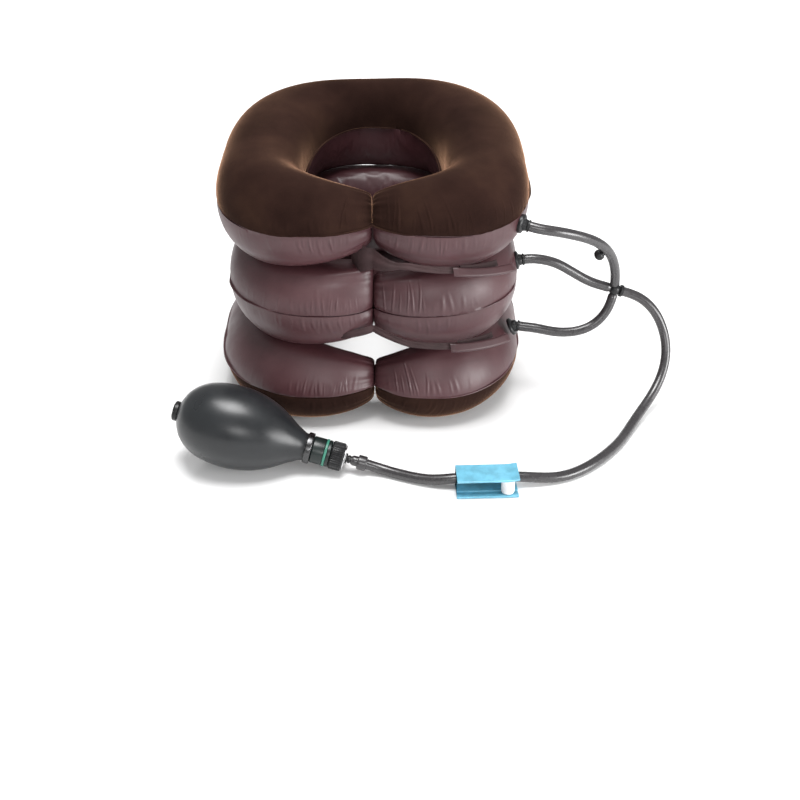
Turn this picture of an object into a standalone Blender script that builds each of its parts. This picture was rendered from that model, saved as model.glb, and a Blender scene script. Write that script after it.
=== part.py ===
"""Inflatable neck-traction collar: three stacked C-shaped air chambers, two straps,
three branch hoses on one cross connector, a long hose with a roller clamp, and a hand bulb.

All sizes are in metres, and written in millimetres times MM. +Z is up, the wearer faces -Y,
and the collar is open at the front, where its horns press against each other.
"""
import math

import bmesh
import bpy
import numpy as np
from mathutils import Vector

MM = 0.001
GAP = 0.3 * MM                      # between solids that touch
FRONT = -math.pi / 2                # plan angle of the opening between the horns

# --- collar, seen from above, around the middle of its widest line -------------------------
RING_CENTRE = Vector((13.56, 6.7, 0)) * MM
HALF_WIDTH = 118 * MM               # outer edge of the seam flange
FRONT_DEPTH = 90 * MM
BACK_DEPTH = 133 * MM
HOLE_HALF_WIDTH = 46 * MM           # inner edge of the seam flange
HOLE_FRONT_DEPTH = 33 * MM
HOLE_BACK_DEPTH = 91 * MM
PLAN_POWER = 2.35                   # superellipse power of both outlines
FLANGE = 4 * MM                     # welded seam outside the tube
SHEET = 1.0 * MM
TIER_SCALES = (0.987, 0.945, 1.0)   # lower, middle and upper chamber

# --- heights: (value at the ring centre, slope towards the back) -----------------------------
SEAM_PLANES = ((28 * MM, 0.045), (100 * MM, 0.040), (170 * MM, 0.100))
CONTACT_PLANES = ((0.0, 0.0), (66 * MM, 0.024), (135 * MM, 0.070), (203 * MM, 0.095))
DOME_POWER = 2.3
DOME_LIFT = 1.10                    # a dome above 1 is cut flat, where chambers rest on each other

# --- blunt horn tips ------------------------------------------------------------------------
TIP_LENGTH = 65 * MM
TIP_SHARE = 0.30                    # of the full section, left at the tip
TIP_POWER = 1.5
TIP_GAP = 0.3 * MM                  # from the middle plane to each tip
TIP_ANGLE = 0.0025                  # plan angle left out at each tip

RING_STATIONS = 29
DOME_STEPS = 8

# --- straps ----------------------------------------------------------------------------------
STRAP_THICKNESS = 1.2 * MM
STRAP_INSET = 6 * MM                # inside the flange's outer edge
STRAP_PLACES = (-29 * MM, 25 * MM, 102 * MM)
STRAP_RISES = {                     # above the contact plane, at those places
    1: (15 * MM, 9.5 * MM, 3.5 * MM),
    2: (9 * MM, 10.5 * MM, 3.0 * MM),
}
STRAP_ROOT_HALVES = {1: 6 * MM, 2: 13 * MM}
STRAP_ROOT_X = -16 * MM
STRAP_END_X = 66 * MM
TAB_END_X = 102 * MM
TIP_RECESS = 7.5 * MM               # the band steps back between the slender tips

# --- hoses -----------------------------------------------------------------------------------
HOSE_RADIUS = 3.75 * MM
HOSE_SPACING = 2.6 * HOSE_RADIUS      # between the tube's points
NIPPLE_LENGTH = 6 * MM
CROSS_CENTRE = Vector((186.7, -4.0, 85.8)) * MM
CROSS_REACH = 8.5 * MM
EASING_PASSES = 60
STRAIGHT_RUN = 4 * MM               # of hose before its first bend
HOSE_GAP = 0.7 * MM                 # between a hose's end face and the fitting it meets
STUB_SHARE = 0.66                   # how far along the upper branch the blanked outlet sits
CROSS_ARMS = {
    "up": Vector((-0.08, -0.20, 0.98)).normalized(),
    "down": Vector((-0.21, -0.25, -0.94)).normalized(),
    "left": Vector((-0.97, -0.03, 0.30)).normalized(),
    "right": Vector((1, 0, -0.30)).normalized(),
}

# --- bulb and air valve, along their common axis --------------------------------------------
BULB_TAIL = Vector((-139.6, -111.0, 41.2)) * MM
BULB_AXIS = Vector((0.963, -0.127, -0.238)).normalized()
BULB_PROFILE = (                    # distance from the tail, outer radius
    (0, 8.2), (2.5, 13.8), (6, 18.8), (12, 23.8), (20, 27.6), (31, 29.8), (43, 30.2),
    (55, 28.6), (66, 25.2), (76, 20.2), (84, 15.0), (90, 11.6), (94, 10.0), (98, 9.8),
)
BULB_WALL = 2.6
KNURLS = 22

# --- roller clamp ----------------------------------------------------------------------------
CLAMP_MIDDLE = Vector((81.6, -148.6, 0.3)) * MM
CLAMP_ANGLE = math.radians(2.6)
CLAMP_LENGTH = 44 * MM
CLAMP_DEPTH = 20 * MM
CLAMP_HEIGHT = 15.0 * MM
CLAMP_WALL = 1.5 * MM
ROLLER_RADIUS = 4.8 * MM
ROLLER_OFFSET = 14.5 * MM           # from the clamp's middle, open position
ROLLER_ACROSS = -4.8 * MM           # towards the channel's mouth
GROOVE_HALF = 1.6 * MM

FINISHES = {                        # base colour, roughness, metallic
    "velvet": ((0.050, 0.026, 0.020), 0.95, 0.0),
    "pvc": ((0.125, 0.055, 0.065), 0.45, 0.0),
    "webbing": ((0.085, 0.035, 0.040), 0.70, 0.0),
    "hose": ((0.060, 0.055, 0.058), 0.40, 0.0),
    "bulb": ((0.028, 0.030, 0.036), 0.38, 0.0),
    "fitting": ((0.020, 0.020, 0.022), 0.40, 0.0),
    "valve": ((0.020, 0.036, 0.032), 0.40, 0.0),
    "green": ((0.080, 0.270, 0.180), 0.45, 0.0),
    "metal": ((0.520, 0.520, 0.540), 0.30, 1.0),
    "clamp": ((0.160, 0.620, 0.860), 0.25, 0.0),
    "roller": ((0.850, 0.850, 0.850), 0.35, 0.0),
}


# ============================== scene and mesh helpers ======================================

def clear_scene():
    for thing in list(bpy.data.objects):
        bpy.data.objects.remove(thing, do_unlink=True)


def finish_material(name):
    material = bpy.data.materials.get(name)
    if material is None:
        colour, roughness, metallic = FINISHES[name]
        material = bpy.data.materials.new(name)
        material.use_nodes = True
        shader = material.node_tree.nodes["Principled BSDF"]
        shader.inputs["Base Color"].default_value = (*colour, 1)
        shader.inputs["Roughness"].default_value = roughness
        shader.inputs["Metallic"].default_value = metallic
    return material


def add_object(name, data, finish, location=(0, 0, 0)):
    thing = bpy.data.objects.new(name, data)
    data.materials.append(finish_material(finish))
    thing.location = location
    bpy.context.scene.collection.objects.link(thing)
    return thing


def add_mesh(name, points, faces, finish, location=(0, 0, 0), sharp_angle=40):
    mesh = bpy.data.meshes.new(name)
    mesh.from_pydata([tuple(point) for point in points], [], faces)
    build = bmesh.new()
    build.from_mesh(mesh)
    bmesh.ops.remove_doubles(build, verts=build.verts, dist=0.00001)
    bmesh.ops.recalc_face_normals(build, faces=build.faces)
    build.to_mesh(mesh)
    build.free()
    mesh.shade_smooth()
    mesh.set_sharp_from_angle(angle=math.radians(sharp_angle))
    return add_object(name, mesh, finish, location)


def tube_faces(rings, sides):
    """Quads between successive closed rings of the same number of points."""
    faces = []
    for ring in range(rings - 1):
        for side in range(sides):
            a = ring * sides + side
            b = ring * sides + (side + 1) % sides
            faces.append((a, b, b + sides, a + sides))
    return faces


def capped_tube(name, rings, finish, location=(0, 0, 0), sharp_angle=40):
    """One closed body from a list of closed rings, with a flat face on each end."""
    sides = len(rings[0])
    points = [point for ring in rings for point in ring]
    faces = tube_faces(len(rings), sides)
    faces.append(tuple(reversed(range(sides))))
    faces.append(tuple(range(len(points) - sides, len(points))))
    return add_mesh(name, points, faces, finish, location, sharp_angle)


def axis_frame(direction):
    """Two unit vectors across a direction."""
    helper = Vector((0, 0, 1))
    if abs(direction.z) > 0.9:
        helper = Vector((0, 1, 0))
    across = direction.cross(helper).normalized()
    return across, across.cross(direction).normalized()


def turned(name, outline, base, direction, finish, sides=20, radius_of=None):
    """Revolve a closed outline of (distance, radius) in mm about an axis through base."""
    across, above = axis_frame(direction)
    points = []
    for step in range(sides):
        angle = 2 * math.pi * step / sides
        out = across * math.cos(angle) + above * math.sin(angle)
        for distance, radius in outline:
            if radius_of is not None:
                radius = radius_of(radius, step)
            points.append(direction * (distance * MM) + out * (radius * MM))
    corners = len(outline)
    faces = []
    for step in range(sides):
        other = (step + 1) % sides
        for corner in range(corners):
            follow = (corner + 1) % corners
            faces.append((step * corners + corner, other * corners + corner,
                          other * corners + follow, step * corners + follow))
    return add_mesh(name, points, faces, finish, base)


def solid_turned(name, outline, base, direction, finish, sides=20):
    """Revolve an open outline that starts and ends on the axis."""
    across, above = axis_frame(direction)
    rings = []
    for distance, radius in outline:
        ring = []
        for step in range(sides):
            angle = 2 * math.pi * step / sides
            out = across * math.cos(angle) + above * math.sin(angle)
            ring.append(direction * (distance * MM) + out * (radius * MM))
        rings.append(ring)
    return capped_tube(name, rings, finish, base)


def ball(name, centre, radius, finish):
    mesh = bpy.data.meshes.new(name)
    build = bmesh.new()
    bmesh.ops.create_uvsphere(build, u_segments=12, v_segments=8, radius=radius)
    build.to_mesh(mesh)
    build.free()
    mesh.shade_smooth()
    return add_object(name, mesh, finish, centre)


def unite(target, others):
    """Boolean union of helper objects into the target, applied through its evaluated mesh."""
    for other in others:
        modifier = target.modifiers.new("join_" + other.name, "BOOLEAN")
        modifier.operation = "UNION"
        modifier.object = other
        other.hide_render = True
        other.display_type = "WIRE"


# ============================== collar ======================================================

def signed_power(value, power):
    return math.copysign(abs(value) ** power, value)


def outline_point(angle, half_width, front, back):
    """A point of the plan outline, a superellipse with its own front and back depth."""
    depth = front if math.sin(angle) < 0 else back
    x = half_width * signed_power(math.cos(angle), 2 / PLAN_POWER)
    y = depth * signed_power(math.sin(angle), 2 / PLAN_POWER)
    return Vector((x, y))


def plane_height(plane, y):
    return plane[0] + plane[1] * y


def tip_share(x):
    """Share of the full section at this distance from the middle plane."""
    reach = min(abs(x) / TIP_LENGTH, 1.0)
    swell = (1 - (1 - reach) ** TIP_POWER) ** (1 / TIP_POWER)
    return TIP_SHARE + (1 - TIP_SHARE) * swell


def section_frame(tier, angle):
    """Middle of the section, vector from it to the outer flange edge, and its tip share."""
    scale = TIER_SCALES[tier]
    outer = outline_point(angle, HALF_WIDTH, FRONT_DEPTH, BACK_DEPTH) * scale
    inner = outline_point(angle, HOLE_HALF_WIDTH, HOLE_FRONT_DEPTH, HOLE_BACK_DEPTH) * scale
    middle = (outer + inner) / 2
    share = tip_share(middle.x) if math.sin(angle) < 0 else 1.0
    side = math.copysign(TIP_GAP, math.cos(angle))
    return middle + Vector((side, 0)), (outer - inner) / 2 * share, share


def ring_angles():
    """Plan angles from the right horn's tip, round the back, to the left horn's tip."""
    angles = []
    for station in range(RING_STATIONS):
        share = station / (RING_STATIONS - 1)
        eased = share - 0.085 * math.sin(2 * math.pi * share)
        angles.append(FRONT + 2 * math.pi * eased)
    angles[0] += TIP_ANGLE
    angles[-1] -= TIP_ANGLE
    return angles


def dome_height(across):
    """Share of the full height at a position from -1, outer root, to 1, inner root."""
    return min(1.0, DOME_LIFT * (1 - abs(across) ** DOME_POWER) ** (1 / DOME_POWER))


def dome_positions():
    steps = []
    for step in range(DOME_STEPS + 1):
        angle = math.pi * step / DOME_STEPS
        steps.append(-signed_power(math.cos(angle), 2 / DOME_POWER))
    return steps


def sheet_section(tier, angle, side, shift=0.0, flat=False):
    """Closed section of a chamber's sheet; side is +1 for its upper and -1 for its lower sheet."""
    middle, to_edge, share = section_frame(tier, angle)
    middle = middle + Vector((shift, 0))
    seam = SEAM_PLANES[tier]
    contact = CONTACT_PLANES[tier + 1] if side > 0 else CONTACT_PLANES[tier]
    half_span = to_edge.length
    root = (half_span - FLANGE * share) / half_span
    inner_root = root - SHEET / half_span

    def place(across, height_share, rise):
        spot = middle - to_edge * across
        seam_z = plane_height(seam, spot.y) + side * GAP / 2
        contact_gap = 0 if contact[0] == 0 else GAP / 2
        reach = abs(plane_height(contact, spot.y) - seam_z) - contact_gap
        height = 0.0 if flat else rise + (reach - rise) * height_share
        return Vector((spot.x, spot.y, seam_z + side * height))

    lip = SHEET
    outer = [place(-1, 0, 0), place(-1, 0, lip)]
    inner = []
    for position in dome_positions():
        height = dome_height(position) * share
        outer.append(place(position * root, height, lip))
        inner_height = max(height * 0.97 - 0.02 * share, 0.0)
        inner.append(place(position * inner_root, inner_height, 0))
    outer += [place(1, 0, lip), place(1, 0, 0)]
    return outer + inner[::-1]


def add_sheet(name, tier, side, finish):
    """Half of a chamber: a thin arched sheet with a seam flange and closed horn tips."""
    angles = ring_angles()
    sections = [sheet_section(tier, angle, side) for angle in angles]
    lower_count = DOME_STEPS + 1
    for end, flat_angle in ((0, angles[0]), (-1, angles[-1])):
        inward = SHEET if end == 0 else -SHEET
        outer = sheet_section(tier, flat_angle, side, 0, True)[:-lower_count]
        inner = sheet_section(tier, flat_angle, side, inward, True)[-lower_count:]
        pushed = sheet_section(tier, flat_angle, side, inward)[-lower_count:]
        sections[end] = sections[end][:-lower_count] + pushed
        wall = outer + inner
        if end == 0:
            sections.insert(0, wall)
        else:
            sections.append(wall)
    return capped_tube(name, sections, finish, RING_CENTRE, 50)


def add_collar():
    add_sheet("base_cover_velvet", 0, -1, "velvet")
    add_sheet("lower_chamber_upper_sheet", 0, 1, "pvc")
    add_sheet("middle_chamber_lower_sheet", 1, -1, "pvc")
    add_sheet("middle_chamber_upper_sheet", 1, 1, "pvc")
    add_sheet("upper_chamber_lower_sheet", 2, -1, "pvc")
    add_sheet("upper_cover_velvet", 2, 1, "velvet")


# ============================== straps ======================================================

def valley_point(angle, tier, inset):
    """Plan point inset from the flange edges, in the valley under the chamber."""
    scale = (TIER_SCALES[tier] + TIER_SCALES[tier - 1]) / 2
    spot = outline_point(angle, HALF_WIDTH * scale - inset, FRONT_DEPTH * scale - inset, BACK_DEPTH)
    spot.y += TIP_RECESS * (1 - tip_share(spot.x)) / (1 - TIP_SHARE)
    rise = float(np.interp(spot.x, STRAP_PLACES, STRAP_RISES[tier]))
    return Vector((spot.x, spot.y, plane_height(CONTACT_PLANES[tier], spot.y) + rise))


def front_angle(x):
    return FRONT + math.asin(signed_power(x / HALF_WIDTH, PLAN_POWER / 2))


def ribbon(name, tier, start_x, end_x, halves, inset, thickness, finish, pivot_x):
    """A flat band on edge that follows the valley; halves are its half widths at both ends."""
    first = front_angle(start_x)
    last = front_angle(end_x)
    steps = max(3, int(round((last - first) / math.radians(5))))
    origin = valley_point(front_angle(pivot_x), tier, inset)
    rings = []
    for step in range(steps + 1):
        share = step / steps
        angle = first + (last - first) * share
        spot = valley_point(angle, tier, inset)
        ahead = valley_point(angle + 0.01, tier, inset) - valley_point(angle - 0.01, tier, inset)
        normal = Vector((ahead.y, -ahead.x, 0)).normalized() * (thickness / 2)
        half = halves[1] + (halves[0] - halves[1]) * max(0.0, 1 - 3.2 * share) ** 1.4
        rise = Vector((0, 0, half))
        corners = (spot - normal - rise, spot + normal - rise, spot + normal + rise, spot - normal + rise)
        rings.append([corner - origin for corner in corners])
    return capped_tube(name, rings, finish, RING_CENTRE + origin)


def add_straps():
    root = STRAP_ROOT_X
    for tier, prefix in ((1, "lower"), (2, "upper")):
        wide = STRAP_ROOT_HALVES[tier]
        ribbon(prefix + "_strap_anchor", tier, root - 10 * MM, root - 1.2 * MM,
               (3 * MM, 3 * MM), STRAP_INSET + 5 * MM, 1.6 * MM, "pvc", root - 7 * MM)
        ribbon(prefix + "_strap", tier, root, STRAP_END_X,
               (wide, 4.2 * MM), STRAP_INSET, STRAP_THICKNESS, "webbing", root)
        ribbon(prefix + "_strap_tab", tier, STRAP_END_X - 6 * MM, TAB_END_X,
               (5.0 * MM, 5.0 * MM), STRAP_INSET - 2.4 * MM, 2.4 * MM, "pvc", root)
        ribbon(prefix + "_loop_patch", tier, STRAP_END_X + 2 * MM, TAB_END_X - 4 * MM,
               (3.4 * MM, 3.4 * MM), STRAP_INSET + 0.4 * MM, 1.2 * MM, "webbing", STRAP_END_X)


# ============================== ports and hoses ==============================================

def tier_surface(tier, angle, side, across):
    """Point and outward normal on the outside of a chamber's sheet."""
    def spot(turn, position):
        middle, to_edge, share = section_frame(tier, turn)
        root = (to_edge.length - FLANGE * share) / to_edge.length
        place = middle - to_edge * position * root
        seam = plane_height(SEAM_PLANES[tier], place.y)
        contact = CONTACT_PLANES[tier + 1] if side > 0 else CONTACT_PLANES[tier]
        reach = plane_height(contact, place.y) - seam
        return Vector((place.x, place.y, seam + reach * dome_height(position) * share))

    here = spot(angle, across)
    along = spot(angle + 0.01, across) - here
    upward = spot(angle, across + 0.01) - here
    normal = along.cross(upward).normalized()
    if normal.x < 0:
        normal = -normal
    return here + RING_CENTRE, normal


PORTS = {                           # chamber, plan angle, sheet side, place across, outlet
    "upper": (2, math.radians(-24), -1, -0.985, Vector((0.94, -0.27, -0.19))),
    "middle": (1, math.radians(-4), 1, -0.965, Vector((0.99, 0.02, 0.12))),
    "lower": (0, math.radians(-6), 1, -0.80, Vector((0.98, -0.14, -0.10))),
}


def port_frame(which):
    tier, angle, side, across, outlet = PORTS[which]
    spot, normal = tier_surface(tier, angle, side, across)
    return spot + normal * (1.6 * MM), normal, outlet.normalized()


def nipple_end(which):
    base, normal, outlet = port_frame(which)
    return base + normal * (2.5 * MM) + outlet * NIPPLE_LENGTH


def add_port(which):
    """Welded flange, round hub and nipple in one piece."""
    base, normal, outlet = port_frame(which)
    flange = [(0, 7.0), (1.0, 7.0), (1.8, 5.4), (2.0, 4.2), (4.4, 3.6), (5.0, 2.4)]
    port = solid_turned(which + "_port", flange, base, normal, "fitting", 16)
    nipple = solid_turned(which + "_nipple_guide", [(0, 2.6), (NIPPLE_LENGTH / MM, 2.6)],
                          base + normal * (2.5 * MM), outlet, "fitting", 12)
    unite(port, [nipple])


def smooth_points(route, spacing):
    """Points at an even spacing on a natural cubic spline through the route."""
    knots = np.array([tuple(point) for point in route])
    chords = np.linalg.norm(np.diff(knots, axis=0), axis=1)
    places = np.concatenate(([0.0], np.cumsum(np.sqrt(chords))))
    count = len(knots)
    steps = np.diff(places)
    matrix = np.eye(count)
    right = np.zeros((count, 3))
    for i in range(1, count - 1):
        matrix[i, i - 1:i + 2] = (steps[i - 1], 2 * (steps[i - 1] + steps[i]), steps[i])
        right[i] = 6 * ((knots[i + 1] - knots[i]) / steps[i] - (knots[i] - knots[i - 1]) / steps[i - 1])
    curvature = np.linalg.solve(matrix, right)
    fine = []
    for place in np.linspace(0, places[-1], 600):
        i = min(int(np.searchsorted(places, place, side="right")) - 1, count - 2)
        step = steps[i]
        a = (places[i + 1] - place) / step
        b = 1 - a
        bend = ((a ** 3 - a) * curvature[i] + (b ** 3 - b) * curvature[i + 1]) * step ** 2 / 6
        fine.append(a * knots[i] + b * knots[i + 1] + bend)
    return eased_points(np.array(fine), spacing)


def even_points(points, spacing):
    run = np.concatenate(([0.0], np.cumsum(np.linalg.norm(np.diff(points, axis=0), axis=1))))
    pieces = max(4, int(round(run[-1] / spacing)))
    wanted = np.linspace(0, run[-1], pieces + 1)
    return np.stack([np.interp(wanted, run, points[:, axis]) for axis in range(3)], axis=1)


def eased_points(points, spacing):
    """Even points after local easing of the tightest bends; both ends stay where they are."""
    points = even_points(points, 1 * MM)
    for _ in range(EASING_PASSES):
        middle = (points[:-2] + points[2:]) / 2
        points[1:-1] = (points[1:-1] + middle) / 2
    return [Vector(point) for point in even_points(points, spacing)]


def add_hose(name, route):
    curve = bpy.data.curves.new(name, "CURVE")
    curve.dimensions = "3D"
    curve.bevel_depth = HOSE_RADIUS
    curve.bevel_resolution = 2
    curve.use_fill_caps = True
    points = smooth_points(route, HOSE_SPACING)
    spline = curve.splines.new("POLY")
    spline.points.add(len(points) - 1)
    for point, place in zip(spline.points, points):
        point.co = (*place, 1)
    return add_object(name, curve, "hose")


def in_ring(*points):
    """Places in millimetres from the ring centre, in metres from the origin."""
    return [Vector(point) * MM + RING_CENTRE for point in points]


def cross_arm(which, reach=CROSS_REACH):
    return CROSS_CENTRE + CROSS_ARMS[which] * reach + RING_CENTRE


def port_start(which):
    """Two route points straight out of the nipple."""
    outlet = port_frame(which)[2]
    start = nipple_end(which) + outlet * HOSE_GAP
    return [start, start + outlet * STRAIGHT_RUN]


def cross_end(which):
    """Two route points straight into a cross arm."""
    return [cross_arm(which, CROSS_REACH + STRAIGHT_RUN), cross_arm(which, CROSS_REACH + HOSE_GAP)]


UPPER_ROUTE = in_ring((128, -44.9, 153.6), (141, -41.4, 149.7), (153.5, -35.1, 144), (165.3, -27.1, 136.2),
                      (175.2, -18.8, 125.7), (182.3, -11.3, 112))
MIDDLE_ROUTE = in_ring((128, -8.2, 113.2), (138, -7.2, 110.2), (148, -6.2, 104.2), (158, -5.3, 97.6),
                       (168, -4.6, 91.8))
LOWER_ROUTE = in_ring((125, -14.6, 57.2), (135, -15.6, 55), (146.5, -16, 53.6), (158.5, -15, 54),
                      (170, -12.6, 57.4), (179.1, -9.8, 65))
MAIN_ROUTE = in_ring((207, -4.5, 79), (218.5, -7, 69.5), (226.5, -11.5, 56), (230, -19.5, 40.5),
                     (226.5, -31, 25), (217, -45, 13.5), (205, -61, 7), (194, -79, 4.2),
                     (183, -97, 3.8), (167, -116, 3.8), (151, -130, 3.8), (134, -138.5, 4.0),
                     (118, -141.7, 6.0), (104.5, -143.1, 7.8), (82, -144.1, 7.9), (59.5, -145.1, 7.8),
                     (45, -144.0, 5.2), (31, -139.9, 4.0), (18, -134.8, 3.8), (7, -130.6, 4.6))


def hose_tail():
    """Last points of the long hose, straight into the barb on the air valve."""
    end = BULB_TAIL + BULB_AXIS * (133.4 * MM) + RING_CENTRE
    return [end + BULB_AXIS * (7 * MM), end]


def add_hoses():
    add_hose("upper_branch_hose", upper_branch_route())
    add_hose("middle_branch_hose", port_start("middle") + MIDDLE_ROUTE + cross_end("left"))
    add_hose("lower_branch_hose", port_start("lower") + LOWER_ROUTE + cross_end("down"))
    start = [cross_arm("right", CROSS_REACH + HOSE_GAP), cross_arm("right", CROSS_REACH + STRAIGHT_RUN)]
    add_hose("main_hose", start + MAIN_ROUTE + hose_tail())


def add_cross_connector():
    centre = CROSS_CENTRE + RING_CENTRE
    hub = ball("cross_connector", centre, 4.6 * MM, "fitting")
    arms = []
    for which, direction in CROSS_ARMS.items():
        stub = [(0.5, 2.9), (5.2, 2.9), (5.2, 4.0), (6.6, 4.0), (6.6, 2.9), (CROSS_REACH / MM, 2.6)]
        arms.append(solid_turned("cross_guide_" + which, stub, centre, direction, "fitting", 12))
    unite(hub, arms)


def upper_branch_route():
    return port_start("upper") + UPPER_ROUTE + cross_end("up")


def add_hose_stub_cap():
    """Small round cap of a blanked side outlet, on the inside of the upper branch."""
    points = smooth_points(upper_branch_route(), 1 * MM)
    place = int(len(points) * STUB_SHARE)
    tangent = (points[place + 1] - points[place - 1]).normalized()
    away = Vector((-0.75, 0.10, -0.65))
    away = (away - tangent * away.dot(tangent)).normalized()
    base = points[place] + away * (HOSE_RADIUS + GAP)
    profile = [(0, 3.0), (0.8, 3.9), (3.6, 4.1), (5.4, 3.6), (6.6, 2.4), (7.0, 1.0)]
    solid_turned("branch_stub_cap", profile, base, away, "fitting", 16)


# ============================== bulb and air valve ===========================================

def on_axis(distance):
    return BULB_TAIL + BULB_AXIS * (distance * MM) + RING_CENTRE


def valve_part(name, outline, finish, sides=20, radius_of=None):
    return turned(name, outline, on_axis(0), BULB_AXIS, finish, sides, radius_of)


def add_bulb():
    """Hollow rubber bulb, open at the tail and at the neck."""
    outer = list(BULB_PROFILE)
    inner = []
    for distance, radius in reversed(outer[1:-1:2]):
        inner.append((min(max(distance, 3.0), 95.0), max(radius - BULB_WALL, 6.2)))
    outline = outer + [(98, 6.2)] + inner + [(3.0, 4.6), (0, 4.6)]
    valve_part("bulb", outline, "bulb", 24)


def add_inlet_valve():
    seat = [(-4.2, 1.4), (-4.2, 6.4), (-3.4, 7.4), (-0.3, 7.4), (-0.3, 4.2), (10.5, 4.2),
            (10.5, 3.0), (2.6, 3.0), (0.6, 1.4)]
    valve_part("inlet_valve_seat", seat, "fitting", 18)
    ball("inlet_ball", on_axis(4.3), 2.2 * MM, "metal")
    retainer = [(9.2, 1.2), (9.2, 2.8), (10.4, 2.8), (10.4, 1.2)]
    valve_part("inlet_ball_retainer", retainer, "metal", 12)


def add_air_valve():
    ferrule = [(94.6, 10.2), (94.6, 11.0), (95.2, 11.4), (98.6, 11.4), (99.2, 11.0), (99.2, 10.2)]
    valve_part("neck_ferrule", ferrule, "fitting")
    body = [(90.5, 1.6), (90.5, 5.6), (92.0, 5.9), (99.4, 5.9), (99.4, 9.4), (100.2, 9.8),
            (108.4, 9.8), (108.4, 8.9), (110.6, 8.9), (110.6, 9.8), (113.0, 9.8), (113.0, 4.2),
            (124.2, 4.2), (124.2, 1.5), (112.6, 1.5), (112.0, 3.2), (102.0, 3.2), (100.4, 1.6)]
    valve_part("valve_body", body, "valve")
    valve_part("valve_green_ring", [(108.7, 9.2), (108.7, 10.1), (110.3, 10.1), (110.3, 9.2)], "green")
    knurled = [(113.3, 4.5), (113.3, 9.6), (114.1, 10.4), (122.2, 10.4), (123.0, 9.6), (123.0, 4.5)]

    def knurl(radius, step):
        return radius - 0.55 if radius > 10 and step % 2 else radius

    valve_part("release_ring", knurled, "fitting", 2 * KNURLS, knurl)
    valve_part("valve_end_washer", [(123.3, 4.5), (123.3, 9.2), (124.0, 9.2), (124.0, 4.5)], "metal")
    barb = [(124.5, 1.5), (124.5, 3.8), (125.7, 3.8), (125.7, 2.5), (127.4, 3.1), (128.2, 2.5),
            (130.2, 3.1), (131.0, 2.5), (133.0, 2.5), (133.0, 1.5)]
    valve_part("outlet_barb", barb, "fitting", 16)
    ball("outlet_ball", on_axis(103.6), 2.4 * MM, "metal")
    add_outlet_spring()


def add_outlet_spring():
    """Light coil spring that holds the outlet ball on its seat."""
    across, above = axis_frame(BULB_AXIS)
    turns = 4
    steps = 9
    curve = bpy.data.curves.new("outlet_spring", "CURVE")
    curve.dimensions = "3D"
    curve.bevel_depth = 0.35 * MM
    curve.bevel_resolution = 0
    curve.use_fill_caps = True
    spline = curve.splines.new("POLY")
    spline.points.add(turns * steps)
    for step, point in enumerate(spline.points):
        angle = 2 * math.pi * step / steps
        out = across * math.cos(angle) + above * math.sin(angle)
        distance = 107.2 + 4.2 * step / (turns * steps)
        point.co = (*(on_axis(distance) + out * (2.3 * MM)), 1)
    add_object("outlet_spring", curve, "metal")


def add_hose_end_sleeve():
    """Soft sleeve over the hose where it is pushed onto the barb."""
    hose_end = hose_tail()[1]
    sleeve = [(0.6, 4.15), (0.6, 5.0), (1.4, 5.4), (5.6, 5.4), (6.4, 4.9), (6.4, 4.15)]
    turned("hose_end_sleeve", sleeve, hose_end, BULB_AXIS, "hose", 16)


# ============================== roller clamp =================================================

def clamp_axes():
    along = Vector((math.cos(CLAMP_ANGLE), math.sin(CLAMP_ANGLE), 0))
    return along, Vector((-along.y, along.x, 0))


def add_clamp():
    """Open channel lying on its side, its mouth towards -Y, with grooves for the roller's pins."""
    along, inward = clamp_axes()
    depth = CLAMP_DEPTH / 2
    top = CLAMP_HEIGHT
    wall = CLAMP_WALL
    back = ROLLER_ACROSS + GROOVE_HALF
    front = ROLLER_ACROSS - GROOVE_HALF
    pocket = 0.8 * MM
    section = [
        (-depth, 0), (depth, 0), (depth, top), (-depth, top), (-depth, top - wall),
        (front, top - wall), (front, top - wall + pocket), (back, top - wall + pocket),
        (back, top - wall), (depth - wall, top - wall), (depth - wall, wall),
        (back, wall), (back, wall - pocket), (front, wall - pocket), (front, wall), (-depth, wall),
    ]
    middle = CLAMP_MIDDLE + RING_CENTRE
    rings = []
    flare = 1.2 * MM
    for place, grow in ((-0.5, 0), (0.30, 0), (0.42, 0.4), (0.5, 1.0)):
        ring = []
        for across, height in section:
            lifted = height + flare * grow * (height / top)
            ring.append(along * (place * CLAMP_LENGTH) + inward * across + Vector((0, 0, lifted)))
        rings.append(ring)
    capped_tube("clamp_body", rings, "clamp", middle)
    add_roller(middle, along, inward)


def add_roller(middle, along, inward):
    """Roller with its two short axle pins, which slide in the channel's grooves."""
    place = middle + along * ROLLER_OFFSET + inward * ROLLER_ACROSS
    place.z += CLAMP_WALL
    room = (CLAMP_HEIGHT - 2 * CLAMP_WALL) / MM
    pin = 1.3
    outline = [(-0.4, pin), (0.4, pin), (0.4, ROLLER_RADIUS / MM - 0.4), (0.9, ROLLER_RADIUS / MM),
               (room - 0.9, ROLLER_RADIUS / MM), (room - 0.4, ROLLER_RADIUS / MM - 0.4),
               (room - 0.4, pin), (room + 0.4, pin)]
    solid_turned("clamp_roller", outline, place, Vector((0, 0, 1)), "roller", 20)


def main():
    clear_scene()
    add_collar()
    add_straps()
    for which in PORTS:
        add_port(which)
    add_hoses()
    add_cross_connector()
    add_hose_stub_cap()
    add_bulb()
    add_inlet_valve()
    add_air_valve()
    add_hose_end_sleeve()
    add_clamp()


main()
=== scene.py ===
"""Looks of the inflatable neck-traction collar: inflated chambers, straps, hoses, bulb, clamp.

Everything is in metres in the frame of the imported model, and written in millimetres times MM.
+Z is up, the wearer faces -Y, and the collar is open at the front between its horns.
"""
import math
import random
from collections import namedtuple

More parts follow.
